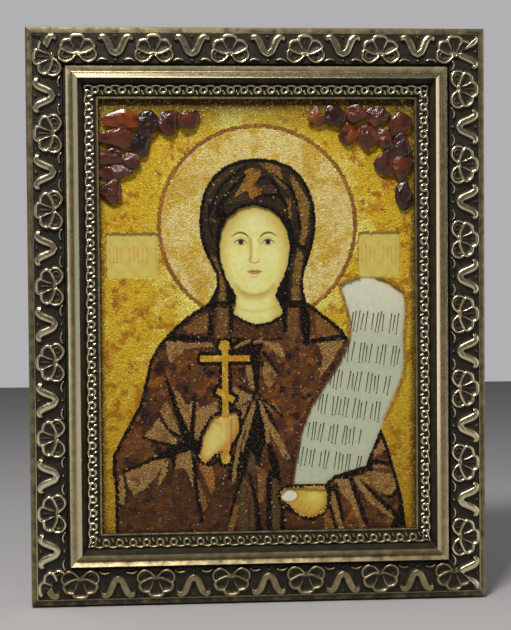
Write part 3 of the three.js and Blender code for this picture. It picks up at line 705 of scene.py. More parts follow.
def paint_eyes(colours, off, y):
    """Hollows, lids, eyes and brows, the same on both sides."""
    lay(colours, SKIN_SHADE, 0.75 * spot(off, y, (EYE_WIDTH, EYE + 0.4), (4.4, 3.2)))
    socket = [(2.6, BROW - 1.2), (2.2, EYE + 0.6), (2.9, EYE - 2.2)]
    lay(colours, SKIN_SHADE, 0.7 * brush(socket, off, y, (0.3, 0.7, 0.3), 1.0))
    white = [(3.3, EYE - 0.25), (4.6, EYE + 0.75), (6, EYE + 1.15), (7.6, EYE + 0.75), (8.9, EYE - 0.1)]
    below = [(8.9, EYE - 0.1), (7.4, EYE - 0.95), (5.8, EYE - 1.15), (4.4, EYE - 0.9), (3.3, EYE - 0.25)]
    almond = np.vstack([smooth_line(white), smooth_line(below)])
    open_eye = inside(almond, off, y).astype(float)
    lay(colours, EYE_WHITE, open_eye)
    pupil = np.hypot(off - EYE_WIDTH, y - EYE - 0.1)
    lay(colours, LINE_BROWN, open_eye * np.clip((1.2 - pupil) / 0.25 + 0.5, 0, 1))
    lay(colours, PUPIL_BLACK, open_eye * np.clip((0.55 - pupil) / 0.2 + 0.5, 0, 1))
    lay(colours, LINE_BROWN, 0.95 * brush(white, off, y, (0.12, 0.26, 0.34, 0.28, 0.16), 0.22))
    lay(colours, SKIN_DEEP, 0.8 * brush(below, off, y, (0.1, 0.14, 0.16, 0.14, 0.1), 0.22))
    lid = [(3.4, EYE + 1.2), (4.8, EYE + 2.0), (6.2, EYE + 2.2), (8.0, EYE + 1.6)]
    lay(colours, SKIN_DEEP, 0.6 * brush(lid, off, y, (0.08, 0.14, 0.14, 0.06), 0.25))
    arch = [(2.7, BROW - 0.9), (4.4, BROW + 0.5), (7.0, BROW + 0.9), (10.2, BROW - 0.7)]
    lay(colours, LINE_BROWN, 0.95 * brush(arch, off, y, (0.25, 0.42, 0.36, 0.12), 0.3))


def paint_nose(colours, side, y):
    """The shaded side of the nose's bridge, its light, and its tip."""
    bridge = [(-1.7, BROW - 1.6), (-1.5, EYE - 2), (-1.7, NOSE + 2.6), (-2.1, NOSE + 0.9)]
    lay(colours, SKIN_SHADE, 0.8 * brush(bridge, side, y, (0.4, 0.6, 0.7, 0.6), 0.9))
    lay(colours, SKIN_DEEP, 0.6 * brush(bridge, side, y, (0.12, 0.16, 0.16, 0.12), 0.3))
    lay(colours, SKIN_LIGHT, 0.9 * brush([(0.2, BROW - 2), (0.2, NOSE + 2)], side, y, (0.5, 0.7), 0.9))
    tip = [(2.0, NOSE + 1.2), (1.9, NOSE + 0.2), (0.9, NOSE - 0.1), (0, NOSE - 0.5)]
    lay(colours, SKIN_DEEP, 0.85 * brush(tip, np.abs(side), y, (0.1, 0.18, 0.2, 0.16), 0.3))


def paint_mouth(colours, off, y):
    bow = [(0, MOUTH + 0.55), (1.0, MOUTH + 0.85), (2.2, MOUTH + 0.45), (3.4, MOUTH)]
    lip = [(3.4, MOUTH), (2.0, MOUTH - 1.0), (0, MOUTH - 1.35)]
    mouth_edge = np.vstack([smooth_line(bow), smooth_line(lip), [(0, MOUTH)]])
    lay(colours, LIP_RED, 0.85 * inside(mouth_edge, off, y))
    parting = [(0, MOUTH - 0.05), (1.4, MOUTH + 0.1), (3.5, MOUTH)]
    lay(colours, LINE_BROWN, 0.75 * brush(parting, off, y, (0.16, 0.15, 0.08), 0.25))
    lay(colours, SKIN_SHADE, 0.7 * brush([(0, MOUTH - 2.5), (1.8, MOUTH - 2.3)], off, y, (0.4, 0.1), 0.7))


def paint_face(x, y):
    colours = np.tile(paint(SKIN), (len(x), 1))
    side = x - FACE_CENTRE
    paint_skin(colours, side, y)
    paint_eyes(colours, np.abs(side), y)
    paint_nose(colours, side, y)
    paint_mouth(colours, np.abs(side), y)
    return colours


# The painted hands' outlines: one on the cross, one under the scroll
UPPER_HAND = [
    (-21.5, -45.5), (-19, -44), (-14.5, -44.5), (-12.5, -43), (-10, -42.5), (-9.5, -45.5), (-9, -50),
    (-10, -53.5), (-13, -56.5), (-16.5, -59.5), (-20, -61.5), (-22, -63.5), (-24, -65), (-26, -64),
    (-27, -62), (-26, -57.5), (-25, -53), (-23, -49),
]
LOWER_HAND = [
    (18, -76), (28.5, -75.5), (30, -79), (30, -83.5), (29, -87), (27, -88.5), (23, -90), (19, -89.5),
    (15.5, -87), (13, -84), (10.5, -83), (9, -80.5), (9, -78), (11, -76.5),
]
# The middle of the cross's stem, and the rise, half width and two ends of the fingers over it
STEM = -15.0
STEM_COVER = 1.1
FINGERS_HALF = 3.2
FINGERS_SPAN = (-60.5, -44.6)
# The end of the rolled scroll in the lower hand, and half its width and height
ROLL_END = (13, -80)
ROLL_SIZE = (3.7, 2.6)


def fingers_over_stem(x, y):
    """The fingers close over the stem of the cross, so the paint rises over it."""
    across = np.clip((FINGERS_HALF - np.abs(x - STEM)) / (FINGERS_HALF / 2), 0, 1)
    low, high = FINGERS_SPAN
    within = np.clip((y - low) / 1.2, 0, 1) * np.clip((high - y) / 0.8, 0, 1)
    return STEM_COVER * across * across * (3 - 2 * across) * within


def paint_upper_hand(x, y):
    colours = np.tile(paint(HAND_OCHRE), (len(x), 1))
    fullness = [(-22, -60), (-20, -55), (-17.8, -51)]
    lay(colours, HAND_LIGHT, brush(fullness, x, y, (1.8, 3.4, 3.2), 3.4))
    back = [(-24, -65), (-20, -62), (-15, -58), (-11, -53.5), (-9, -47)]
    lay(colours, HAND_SHADE, 0.75 * brush(back, x, y, (0.9, 1.2, 1.6, 1.6, 1.0), 1.8))
    heel = [(-26.8, -62), (-25.4, -56), (-23, -50), (-20.6, -46.4)]
    lay(colours, HAND_HEEL, 0.6 * brush(heel, x, y, (0.6, 0.5, 0.4, 0.5), 1.0))
    for finger in (
        [(-14.8, -44.2), (-14.2, -47.5), (-14.6, -51.6), (-14.0, -54.6)],
        [(-12.6, -43.4), (-12.0, -46.6), (-12.2, -50.2), (-11.8, -53)],
        [(-10.9, -43.2), (-10.4, -46.2), (-10.5, -49.2)],
    ):
        lay(colours, HAND_LINE, 0.4 * brush(finger, x, y, (0.2, 0.4, 0.3, 0.1), 1.0))
    thumb = [(-21.4, -46.6), (-18.4, -47.6), (-16.8, -49.4), (-16.4, -51.6)]
    lay(colours, HAND_LINE, 0.35 * brush(thumb, x, y, (0.2, 0.3, 0.3, 0.1), 0.9))
    lay(colours, HAND_SHINE, 0.6 * brush([(-17.6, -45.6), (-14.4, -46.8)], x, y, (0.6, 0.5), 0.9))
    return colours


def paint_lower_hand(x, y):
    colours = np.tile(paint(PALM_OCHRE), (len(x), 1))
    lay(colours, PALM_LIGHT, spot(x, y, (24, -81), (7.5, 6.5), 0.9))
    lay(colours, PALM_SHINE, 0.8 * spot(x, y, (24.5, -80), (4.5, 3.5)))
    under = [(11, -82.5), (15, -86.4), (20, -89.4), (25, -89.2), (29.6, -84), (29.8, -79)]
    lay(colours, PALM_SHADE, 0.75 * brush(under, x, y, (0.5, 0.8, 1.1, 1.0, 0.7, 0.5), 1.6))
    for reach in (0, 2.3, 4.6):
        tip, joint = (14.6 + reach, -86.8 - reach / 3), (17.0 + reach, -85.4 - reach / 4)
        finger = [tip, joint, (18.6 + reach, -83.4)]
        lay(colours, PALM_LINE, 0.5 * brush(finger, x, y, (0.14, 0.22, 0.08), 0.5))
    from_roll = np.hypot((x - ROLL_END[0]) / ROLL_SIZE[0], (y - ROLL_END[1]) / ROLL_SIZE[1])
    lay(colours, ROLL_RIM, 0.8 * np.clip((1.2 - from_roll) / 0.12, 0, 1))
    lay(colours, SCROLL_WHITE, np.clip((1 - from_roll) / 0.08, 0, 1))
    return colours


def paint_scroll(x, y):
    colours = np.tile(paint(SCROLL_GREY), (len(x), 1))
    lay(colours, SCROLL_WHITE, np.clip((y + 12) / 22, 0, 1))
    for grain in range(14):
        spread = 0.25 * np.sin(x * 0.31 * (grain + 1) + y * 0.17 * grain)
        lay(colours, SCROLL_GRAIN, 0.02 * (1 + spread))
    edges = (
        [(43, 15.9), (36.8, 13.2), (41.2, -6), (36.1, -20.9), (21, -45.3), (15, -74.6), (29.2, -75.6)],
        [(55.6, -46.5), (64.2, -26.2), (64.6, -10), (64.4, 9.8), (51, 17), (43, 16.4)],
    )
    for edge in edges:
        lay(colours, SCROLL_EDGE, 0.6 * brush(edge, x, y, (0.5, 0.5), 0.8))
    above = [(35, 12.8), (38.5, 14.9), (43, 16.6), (48, 17.4), (52.5, 16.6), (58.5, 13.9), (65, 9.4)]
    lay(colours, SCROLL_BAND, brush(above, x, y, (1.0, 1.1, 1.1, 1.0), 0.4))
    return colours


def paint_plate(x, y):
    colours = np.tile(paint(PLATE_YELLOW), (len(x), 1))
    lay(colours, PLATE_OCHRE, 0.5 + 0.3 * np.sin(x * 0.9) * np.sin(y * 0.7 + 1))
    return colours


def picture_place(x, y, height):
    """A place on the picture, in mm from its middle and up from the moulding's back, in the room."""
    return np.stack([x * MM + middle.x, FRAME_BACK - height * MM, y * MM + middle.z], axis=1)


def picture_spot(corner):
    """Where a corner of a CAD node's box lies on the picture, in mm from its middle."""
    return (corner.x - middle.x) / MM, (corner.z - middle.z) / MM


def set_colours(data, colours):
    full = np.ones((len(colours), 4))
    full[:, :3] = colours
    data.attributes.new("laid_colour", "FLOAT_COLOR", "POINT").data.foreach_set("color", full.ravel())


def clouded(finish, scale, detail, darkest, lightest):
    """The colours laid on the mesh, which clouds make a little darker here and lighter there."""
    cloud = finish.span(finish.noise(scale, detail), 0.3, 0.7, darkest, lightest)
    inputs = {0: finish.attribute("laid_colour", "Color"), "Scale": cloud}
    return finish.add("VectorMath", inputs, operation="SCALE").outputs["Vector"]


def tempera_material():
    finish = Finish("egg_tempera")
    gloss = finish.span(finish.noise(1500, 2), 0.3, 0.7, 0.38, 0.5)
    finish.give(Base_Color=clouded(finish, 420, 5, 0.93, 1.05), Roughness=gloss)
    finish.bump(finish.noise(3000, 3), 0.05, 0.0002)
    return finish.material


def board_material():
    finish = Finish("gessoed_board")
    colour = finish.ramp(finish.noise(90, 6, (1, 1, 6)), *GESSO_TONES)
    finish.give(Base_Color=colour, Roughness=0.7)
    return finish.material


def painted_patch(name, left, bottom, right, top, step, painter, raised=None):
    """A thin coat of paint on the board over an oblong, coloured place by place."""
    data, unit = slab_grid(name, round((right - left) / step), round((top - bottom) / step))
    x = left + (unit[:, 0] + 1) / 2 * (right - left)
    y = bottom + (unit[:, 1] + 1) / 2 * (top - bottom)
    front = PAINT_FRONT + (raised(x, y) if raised else 0)
    height = BOARD_FRONT + np.where(unit[:, 2] < -0.5, PAINT_BACK, front)
    data.vertices.foreach_set("co", picture_place(x, y, height).ravel())
    set_colours(data, painter(x, y))
    data.materials.append(tempera)
    return add_piece(name, data, "painted_board")


def dress_node(name, material):
    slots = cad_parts[name].data.materials
    slots.clear()
    slots.append(material)


tempera = tempera_material()
dress_node("icon_board", board_material())
painted_patch("painted_face", -19.5, -5, 17, 50.5, FACE_STEP, paint_face)
painted_patch("painted_upper_hand", -28, -67, -7, -40, PAINT_STEP, paint_upper_hand, fingers_over_stem)
painted_patch("painted_lower_hand", 7.5, -92, 32.5, -75.9, PAINT_STEP, paint_lower_hand)
painted_patch("painted_scroll", 13.5, -75.8, 66.5, 16.9, PLAIN_STEP, paint_scroll)
painted_patch("left_name_plate", -68.5, 15.8, -42.5, 38, PLAIN_STEP, paint_plate)
painted_patch("right_name_plate", 42.5, 16.95, 65, 38, PLAIN_STEP, paint_plate)

# Words on the scroll and the name plates stand as rows of tall thin brush strokes, no letters.
# Each row runs between its two ends, tilted as the scroll falls.
STROKE_THICKNESS = 0.07
STROKE_WIDTH = 0.5
STROKE_FOOT = 0.55
SHORT_STROKE = 0.8
SERIF = (0.7, 0.3)
# Rows by their two ends and the height of their strokes
SCROLL_ROWS = [
    ((41.5, -2.5), (62.0, -4.0), 9.6),
    ((38.5, -16), (62.5, -18.7), 9.2),
    ((32, -28), (58, -31.5), 9.2),
    ((26.5, -39.3), (53.5, -43.3), 9.0),
    ((22, -51), (45, -54.5), 8.8),
    ((17.5, -62.2), (45, -67), 8.4),
]
PLATE_ROWS = [
    ((-65.5, 27.6), (-60, 27.5), 7.6),
    ((-56.5, 27.5), (-45, 27.3), 7.6),
    ((46, 27.2), (61.5, 27), 7.4),
]


def brush_stroke(bm, place, length, tilt, chance):
    """One thin bar, narrower at its foot, with a short cross stroke at one end."""
    bar = bmesh.ops.create_cube(bm, size=1)["verts"]
    for vert in bar:
        taper = STROKE_FOOT if vert.co.y < 0 else 1.0
        vert.co.x *= STROKE_WIDTH * taper
        vert.co.y *= length
        vert.co.z *= STROKE_THICKNESS
    serif = bmesh.ops.create_cube(bm, size=1)["verts"]
    bmesh.ops.scale(bm, verts=serif, vec=(*SERIF, STROKE_THICKNESS))
    end = chance.choice((-0.5, 0.5)) * length
    bmesh.ops.translate(bm, verts=serif, vec=(0, end, 0))
    bmesh.ops.rotate(bm, verts=bar + serif, matrix=Matrix.Rotation(-tilt, 3, "Z"))
    bmesh.ops.translate(bm, verts=bar + serif, vec=place)


def word_strokes(name, rows, spacing, lean, colour_name, colour, seed):
    chance = np.random.default_rng(seed)
    bm = bmesh.new()
    height = BOARD_FRONT + PAINT_FRONT + STROKE_THICKNESS / 2
    for (ax, ay), (bx, by), tall in rows:
        count = round(math.hypot(bx - ax, by - ay) / spacing)
        gap = int(chance.integers(3, 6))
        for i in range(count + 1):
            if i == gap:
                gap += int(chance.integers(4, 7))
                continue
            share = (i + chance.uniform(-0.15, 0.15)) / count
            length = tall * (1 if i % 3 else SHORT_STROKE) * chance.uniform(0.9, 1.0)
            tilt = math.radians(lean + chance.uniform(-3, 3))
            place = (ax + (bx - ax) * share, ay + (by - ay) * share, height)
            brush_stroke(bm, place, length, tilt, chance)
    data = mesh_from(bm, name)
    co = coordinates(data)
    data.vertices.foreach_set("co", picture_place(co[:, 0], co[:, 1], co[:, 2]).ravel())
    finish = Finish(colour_name)
    dark = paint(colour)
    tone = finish.ramp(finish.noise(700, 3), (0.35, dark), (0.65, dark * 1.5))
    finish.give(Base_Color=tone, Roughness=0.5)
    data.materials.append(finish.material)
    return add_piece(name, data, "painted_board")


word_strokes("scroll_strokes", SCROLL_ROWS, 1.6, 9, "scroll_ink", INK, 5)
word_strokes("plate_strokes", PLATE_ROWS, 1.9, 0, "red_ochre", RED_OCHRE, 8)

# The beds of crushed amber: a thin layer of glue and dust for each colour area, strewn with crumbs
# of the same amber, a little under a millimetre across and standing proud of it.
SIGHT = (139, 190)
CRUMB_PITCH = 0.78
CRUMB_RADIUS = 0.66
FINE_BEDS = ("amber_halo_ring", "amber_cross")
FINE_PITCH = 0.55
FINE_RADIUS = 0.4
ROW_SHARE = 0.866
SHAKE = 0.32
CRUMB_FLATTEN = 0.52
CRUMB_SIZES = (0.75, 1.2)
CRUMB_SINK = (-0.12, 0.08)
EDGE_REACH = 1.4
AMBER_LEMON = (234, 226, 120)
AMBER_HONEY = (214, 180, 44)
AMBER_RUST = (176, 120, 24)
AMBER_OCHRE = (150, 108, 34)
AMBER_LOW_SHADE = (150, 106, 22)
PAINTED_SHADE_OLIVE = (112, 104, 48)
AMBER_BONE = (224, 206, 134)
AMBER_PEACH = (204, 168, 66)
AMBER_APRICOT = (190, 128, 40)
AMBER_BROWN = (106, 66, 30)
AMBER_MAROON = (72, 40, 30)
AMBER_PLUM = (34, 20, 22)
AMBER_COCOA = (50, 30, 22)
AMBER_CHESTNUT = (150, 92, 34)
AMBER_BLACK = (14, 12, 9)
AMBER_TAN = (170, 134, 76)
AMBER_SAND = (150, 112, 50)
AMBER_CARAMEL = (172, 122, 42)
AMBER_SIENNA = (148, 104, 50)
AMBER_OLIVE = (88, 78, 40)
AMBER_UMBER = (58, 40, 22)
AMBER_WALNUT = (84, 62, 36)
AMBER_GREYGREEN = (66, 64, 38)
AMBER_GOLD = (206, 160, 40)
AMBER_GLINT = (255, 226, 160)
DROP_BROWN = (132, 94, 46)
WRIST_GOLD = (176, 116, 54)
SEAM_RED = (96, 48, 26)
HAND_GROUND = (208, 160, 70)
GLINT_SHARE = 0.01
# Drapery: black lines, each with half its width along it, and the lighter patches between them
FOLDS = [
    ([(-41, -9), (-34.5, -9.5), (-28.5, -10), (-22.5, -10)], (1.0, 1.3, 1.2, 0.7)),
    ([(-42, -24), (-39, -33.5), (-37, -40), (-34.5, -46.5), (-31.5, -55.5)], (0.4, 0.7, 0.9, 1.1, 1.8)),
    ([(-28.5, -35.5), (-29.5, -46.5), (-30, -56.5)], (0.5, 0.7, 1.2)),
    ([(-44.5, -42.5), (-40.5, -49.5), (-35, -53)], (0.3, 0.5, 0.6)),
    ([(-51.5, -53), (-45.5, -55), (-38, -57), (-34, -58.5)], (0.4, 0.5, 0.6, 1.0)),
    ([(-31, -56.5), (-36.5, -58.5), (-40, -60), (-47.5, -63), (-60, -68)], (2.0, 1.8, 1.7, 0.6, 0.4)),
    ([(-31, -56.5), (-26, -55), (-23, -51.5)], (1.2, 0.7, 0.5)),
    ([(-29, -58.5), (-28.5, -71.5), (-27.5, -81), (-26, -90.5)], (1.1, 0.7, 0.6, 0.7)),
    ([(-38, -60), (-38, -67.5)], (1.0, 0.3)),
    ([(-2, -34.5), (-7.5, -37), (-12.5, -40)], (0.5, 0.5, 0.4)),
    ([(-4, -39), (-8.5, -50.5), (-10.5, -57)], (0.5, 0.6, 0.6)),
    ([(0, -44.5), (-3, -53.5), (-5, -57), (-6.5, -65.5), (-10.5, -78), (-13.5, -89.5)],
     (1.5, 1.5, 1.2, 0.9, 0.7, 0.5)),
    ([(40, -8.5), (38.5, -9.5), (27, -11), (20.5, -12)], (0.9, 1.0, 0.9, 0.6)),
    ([(-12, -9.5), (-4, -11), (2.5, -11), (10, -10)], (0.4, 0.6, 0.6, 0.4)),
    ([(-20.5, 6), (-21.5, -7.5)], (0.7, 0.9)),
    ([(-12.5, 7), (-12, -6.5)], (0.9, 0.7)),
    ([(11, 7), (11.5, -6.5)], (1.3, 0.9)),
    ([(19.5, 6), (20.5, -2.5), (21.5, -12.5)], (0.9, 1.9, 0.8)),
    ([(-1.5, -13.5), (-2, -20.5), (-1, -33)], (1.2, 1.1, 0.6)),
    ([(2, -16), (8, -25)], (0.6, 0.4)),
    ([(-3, -34), (-8.5, -31)], (0.5, 0.4)),
    ([(0, -37.5), (-1, -48.5), (-1, -59.5), (0, -66)], (0.8, 1.9, 1.5, 0.5)),
    ([(1, -37), (5.5, -40), (10, -44.5)], (0.5, 0.6, 0.4)),
    ([(1, -39), (4.5, -44), (9.5, -57), (13, -64.5)], (0.4, 0.8, 0.7, 0.3)),
    ([(4, -57), (6, -64), (9, -74.5)], (0.6, 1.5, 0.5)),
    ([(-3, -38), (-5.5, -46.5), (-11, -64), (-13.5, -71.5)], (0.4, 0.5, 0.8, 0.7)),
    ([(-4.5, -70.5), (-2, -81.5), (-0.5, -95)], (0.5, 0.7, 1.2)),
    ([(4.5, -69.5), (4, -78.5), (4, -95)], (0.8, 1.0, 0.9)),
    ([(10, -80), (10, -95)], (0.6, 1.0)),
    ([(29, -76), (30, -73), (34.5, -71.5), (40, -71.5), (48.5, -68.5)], (0.8, 0.9, 0.8, 0.8, 0.8)),
    ([(48.5, -67), (51.5, -65.5), (57.5, -66.5)], (1.0, 1.0, 0.5)),
    ([(29.5, -77), (31, -84.5), (34, -95)], (0.5, 0.7, 0.6)),
    ([(32, -76.5), (34.5, -80), (37, -91.5)], (0.4, 0.9, 0.5)),
    ([(40.5, -72), (42, -77), (47, -92)], (0.6, 0.9, 0.9)),
    ([(45.5, -74), (49.5, -78.5), (60.5, -89)], (0.4, 0.6, 1.0)),
    ([(62.5, -71), (62, -77.5), (59, -81), (55, -80.5)], (0.8, 1.1, 0.8, 0.3)),
    ([(64.5, -85), (61.5, -95)], (1.6, 2.4)),
]
TAN_PATCHES = [
    [(-41, -11), (-21, -11.5), (-20, -13.5), (-29, -13.5), (-33.5, -15), (-38.5, -20), (-40, -20)],
    [(-37.5, -32.5), (-34.5, -34), (-32.5, -39), (-28.5, -37), (-30.5, -56), (-31.5, -55.5),
     (-34.5, -45.5)],
    [(-44, -41.5), (-40.5, -37), (-38.5, -43), (-35, -52), (-36.5, -53), (-39.5, -50.5)],
    [(-51, -53), (-47.5, -49), (-44.5, -44.5), (-40, -51), (-34, -57.5), (-39, -56), (-46, -55)],
    [(-59.5, -69), (-42, -61.5), (-41.5, -63), (-46, -70.5), (-51.5, -76.5), (-55.5, -78.5), (-58, -74)],
    [(-36.5, -59.5), (-29.5, -58.5), (-29.5, -76.5), (-31.5, -70), (-34, -66.5), (-37.5, -67.5)],
    [(-42.5, -64), (-40.5, -63.5), (-41.5, -70), (-44.5, -74.5), (-45, -73.5), (-43.5, -68)],
    [(-62, -69.5), (-60, -70.5), (-59.5, -78.5), (-60.5, -83.5), (-62.5, -81.5)],
    [(-10, -41), (-3, -38), (-6.5, -46.5), (-9, -50), (-9.5, -44.5)],
    [(-3, -39), (-1, -39.5), (-6.5, -57), (-11, -72.5), (-12.5, -74.5), (-10.5, -64.5), (-6.5, -53)],
    [(-6.5, -21.5), (-3, -22), (-2, -32), (-3, -33.5), (-5, -27)],
    [(-11.5, -32), (-7.5, -33), (-3.5, -36), (-4, -37), (-12, -40), (-10, -36)],
    [(-27.5, -37), (-26.5, -40.5), (-18.5, -37.5), (-18, -43), (-27.5, -56), (-29, -55)],
    [(25.5, -12), (38, -11), (35, -16), (31.5, -22), (26.5, -28), (28.5, -19), (27.5, -14.5)],
    [(2, -11), (9.5, -12.5), (11.5, -19), (8.5, -18), (3, -12.5)],
    [(2.5, -19.5), (4.5, -21.5), (8, -26), (6.5, -30.5), (3.5, -31.5), (1.5, -26)],
    [(2, -38), (7, -39), (10, -43.5), (7, -42.5), (3.5, -42)],
    [(1.5, -39.5), (4, -45), (8.5, -55.5), (13.5, -64.5), (10.5, -63), (6, -54.5), (3, -47)],
    [(0.5, -39), (3, -47), (5.5, -58.5), (4, -60.5), (2, -51.5)],
    [(44, -72), (50, -69.5), (60.5, -71.5), (61.5, -78), (57.5, -81), (51.5, -77.5), (45.5, -74)],
    [(33, -73), (39.5, -72.5), (42.5, -80), (47, -95), (44.5, -95), (41, -84), (36, -78.5)],
    [(28.5, -76), (33, -77.5), (37, -95), (34, -95), (31, -85)],
    [(41, -72), (44, -72.5), (51.5, -82), (61, -91), (60.5, -92), (48.5, -83.5)],
    [(54.5, -49.5), (57, -52.5), (57, -59), (51.5, -63.5), (50.5, -61.5), (54.5, -55.5)],
    [(50, -66.5), (56, -67), (57, -68.5), (50.5, -68)],
]
RUST_PATCHES = [
    [(-28, -68.5), (-26, -75.5), (-23, -83), (-25, -87), (-26.5, -81), (-27.5, -74)],
    [(-26.5, -64.5), (-23, -66.5), (-20.5, -75), (-21.5, -79), (-24, -73.5), (-26.5, -67)],
    [(-52.5, -54), (-47.5, -56), (-48.5, -58), (-52, -56.5)],
    [(-33.5, -5), (-28.5, -2), (-22.5, 1.5), (-22, -7), (-26, -7.5), (-31, -7)],
    [(-11, -82.5), (-9.5, -84.5), (-10.5, -89.5), (-12, -95), (-15, -95)],
    [(25.5, 0.5), (29, -1), (33.5, -6.5), (38, -10), (26, -10), (25, -4.5)],
    [(28, -86.5), (31.5, -85), (33, -95), (28.5, -95)],
    [(-1.5, -66), (4, -69.5), (2.5, -72.5), (1.5, -82.5), (-0.5, -83), (-1, -73.5)],
]
OLIVE_PATCHES = [
    [(-8, -70.5), (-6.5, -72.5), (-5.5, -95), (-9.5, -95), (-8.5, -78)],
    [(-4, -57), (-2.5, -57.5), (-1.5, -69), (-5, -68)],
    [(-4.5, -71.5), (-2, -75), (-1.5, -95), (-4, -95)],
    [(-9.5, -15), (-3.5, -14.5), (-3.5, -15.5), (-9, -16)],
    [(4, -72), (7, -66.5), (8.5, -77.5), (9.5, -95), (5, -95)],
]
BLACK_PATCHES = [
    [(-0.2, -38.5), (2, -45), (2.7, -56), (-1.2, -64.5), (-5, -57), (-2.5, -46.5)],
    [(4.6, -55.5), (8.5, -66), (9, -72), (5.5, -72)],
    [(-11.5, -11), (-1, -10), (2, -12), (0.5, -16.5), (-2.5, -17), (-11.5, -16.5)],
    [(-11, -60), (-8, -58), (-5.5, -70), (-10, -71)],
    [(-42, -7), (-38.5, -5), (-36, -8.5), (-42, -9.5)],
]
# The ties of the collar and hood, and the bright edges of the folds below them
TIES = [
    ([(-10.6, -14.2), (-7.5, -12.2), (-4.2, -11)], (0.5, 0.8, 0.7)),
    ([(-1.8, -11.8), (1.2, -11)], (0.7, 0.6)),
    ([(2.6, -11.6), (6.5, -13.4), (10.6, -17)], (0.9, 1.2, 0.8)),
    ([(-11.5, -31.6), (-7.5, -35), (-3.6, -35.6)], (0.6, 1.7, 0.7)),
    ([(-11.4, -39), (-7.5, -37.6), (-3.8, -36)], (0.4, 1.2, 0.5)),
    ([(0.4, -38), (3, -46), (8, -54), (13, -63)], (0.5, 1.3, 1.2, 0.6)),
    ([(-2.4, -38.2), (-5.2, -46), (-8.5, -54), (-11.5, -70)], (0.5, 0.9, 0.9, 0.8)),
]
WRIST = [(-24.4, -64.0), (-22.6, -69), (-21.2, -76)]
VEIL_DROPS = [
    ([(-16, 7), (-16, -2), (-16.5, -7)], (2.4, 2.4, 2.8)),
    ([(15.5, 7), (15, -7.5)], (2.4, 2.6)),
]
VEIL_GOLD = [
    [(-5.5, 63.5), (-3, 65), (1, 64.5), (1.5, 62), (-0.5, 59.5), (-1, 57.5), (2.5, 55.5), (1, 53.5),
     (-2, 51.5), (-3.5, 52), (-4.5, 55), (-7.5, 54), (-10, 52.5), (-7.5, 57.5), (-6.5, 59.5)],
]
VEIL_TAN = [
    [(1, 67), (6, 67), (10, 65.5), (10.5, 61.5), (13.5, 57.5), (13, 55), (10, 57), (7.5, 61),
     (3.5, 64.5)],
    [(13.5, 63), (15.5, 61.5), (18, 58), (21, 53.5), (22.5, 48), (22.5, 40.5), (21.5, 33.5), (19.5, 30.5),
     (18.5, 32.5), (19.5, 39.5), (18, 46), (17.5, 50.5), (15.5, 57)],
    [(12.5, 52), (14.5, 51.5), (15, 42.5), (13.5, 43.5)],
    [(17.5, 29), (20, 27), (19, 18), (18.5, 5), (14.5, 5), (15, 18)],
    [(-21, 27), (-18.5, 26), (-15.5, 18), (-14.5, 12), (-14, 4), (-18, 4), (-17, 12), (-19, 20)],
]
VEIL_GREEN = [
    [(-14.5, 49.5), (-8.5, 54), (-4.5, 53.5), (-4.5, 51.5), (-11, 49.5)],
    [(-17, 52), (-10, 60.5), (-7, 62), (-11, 55)],
]
VEIL_UMBER = [
    [(-21.5, 57), (-15, 63.5), (-8, 66.5), (-3, 68), (-6.5, 65.5), (-12, 62), (-18, 55), (-20, 49.5),
     (-21, 37), (-22.5, 41.5), (-22.5, 51.5)],
    [(1, 57), (8, 58), (10, 53), (4, 53.5)],
]
VEIL_FOLDS = [
    ([(-21, 46), (-19, 52), (-15, 58.5), (-9.5, 63), (-4.5, 66.5)], (0.5, 0.6, 0.6, 0.6, 0.4)),
    ([(-17.5, 44.5), (-16, 49.5), (-12.5, 55), (-7.5, 60), (-4.5, 62.5)], (1.3, 1.0, 0.7, 0.6, 0.3)),
    ([(-17, 48), (-15, 45), (-16.5, 41), (-18, 35)], (0.8, 0.8, 0.7, 0.7)),
    ([(-1, 58.5), (1.5, 60.5), (5, 60.5), (8.5, 56.5), (10.5, 52), (13, 48)],
     (0.3, 0.5, 0.6, 0.7, 0.6, 0.5)),
    ([(6, 63), (10.5, 59.5), (14.5, 56), (17, 49.5), (18, 44), (18.5, 38)],
     (0.3, 0.4, 0.6, 0.6, 0.6, 0.5)),
    ([(-1, 52), (4.5, 53), (9, 53), (12, 49.5)], (0.5, 0.6, 0.6, 0.5)),
    ([(13.5, 41.5), (15, 34.5), (15.5, 30), (13, 23.5), (11.5, 14.5), (11.5, 3)],
     (0.8, 1.2, 1.2, 1.1, 1.8, 1.8)),
    ([(-18, 35), (-15.5, 26.5), (-12.5, 20), (-12, 13.5), (-12.5, 3)], (0.8, 0.8, 1.1, 1.7, 1.4)),
    ([(-21.5, 49.5), (-21.5, 41.5), (-20, 35)], (0.4, 0.4, 0.4)),
    ([(15, 34.5), (17.5, 31), (20.5, 30)], (0.7, 0.5, 0.4)),
]
SCROLL_SIDES = [
    [(36.4, 13.2), (40.8, -6), (35.7, -20.9), (20.6, -45.3), (14.6, -75)],
    [(55.9, -46.5), (64.4, -26.2), (64.8, -10), (64.6, 9.8), (51, 17.2), (43, 16.4), (36.4, 13.4)],
]
# The round ends of the cross's stem: their middles and radius
CROSS_KNOBS = [(-15.2, -13.2, 2.6), (-15.0, -62.6, 2.2)]
# The openings that the mantle's bed leaves for the hands: middle, half width and half height
UPPER_OPENING = (-18, -54, 9.5, 11.5)
LOWER_OPENING = (20, -84, 11.5, 6.6)
STEM_HALF = 2.2
MOTTLED_FIELD = (170, 220)
HALO_PLACE = (-0.2, 40.2)
HALO_REACH = 42.4
RING_MIDLINE = 43.3


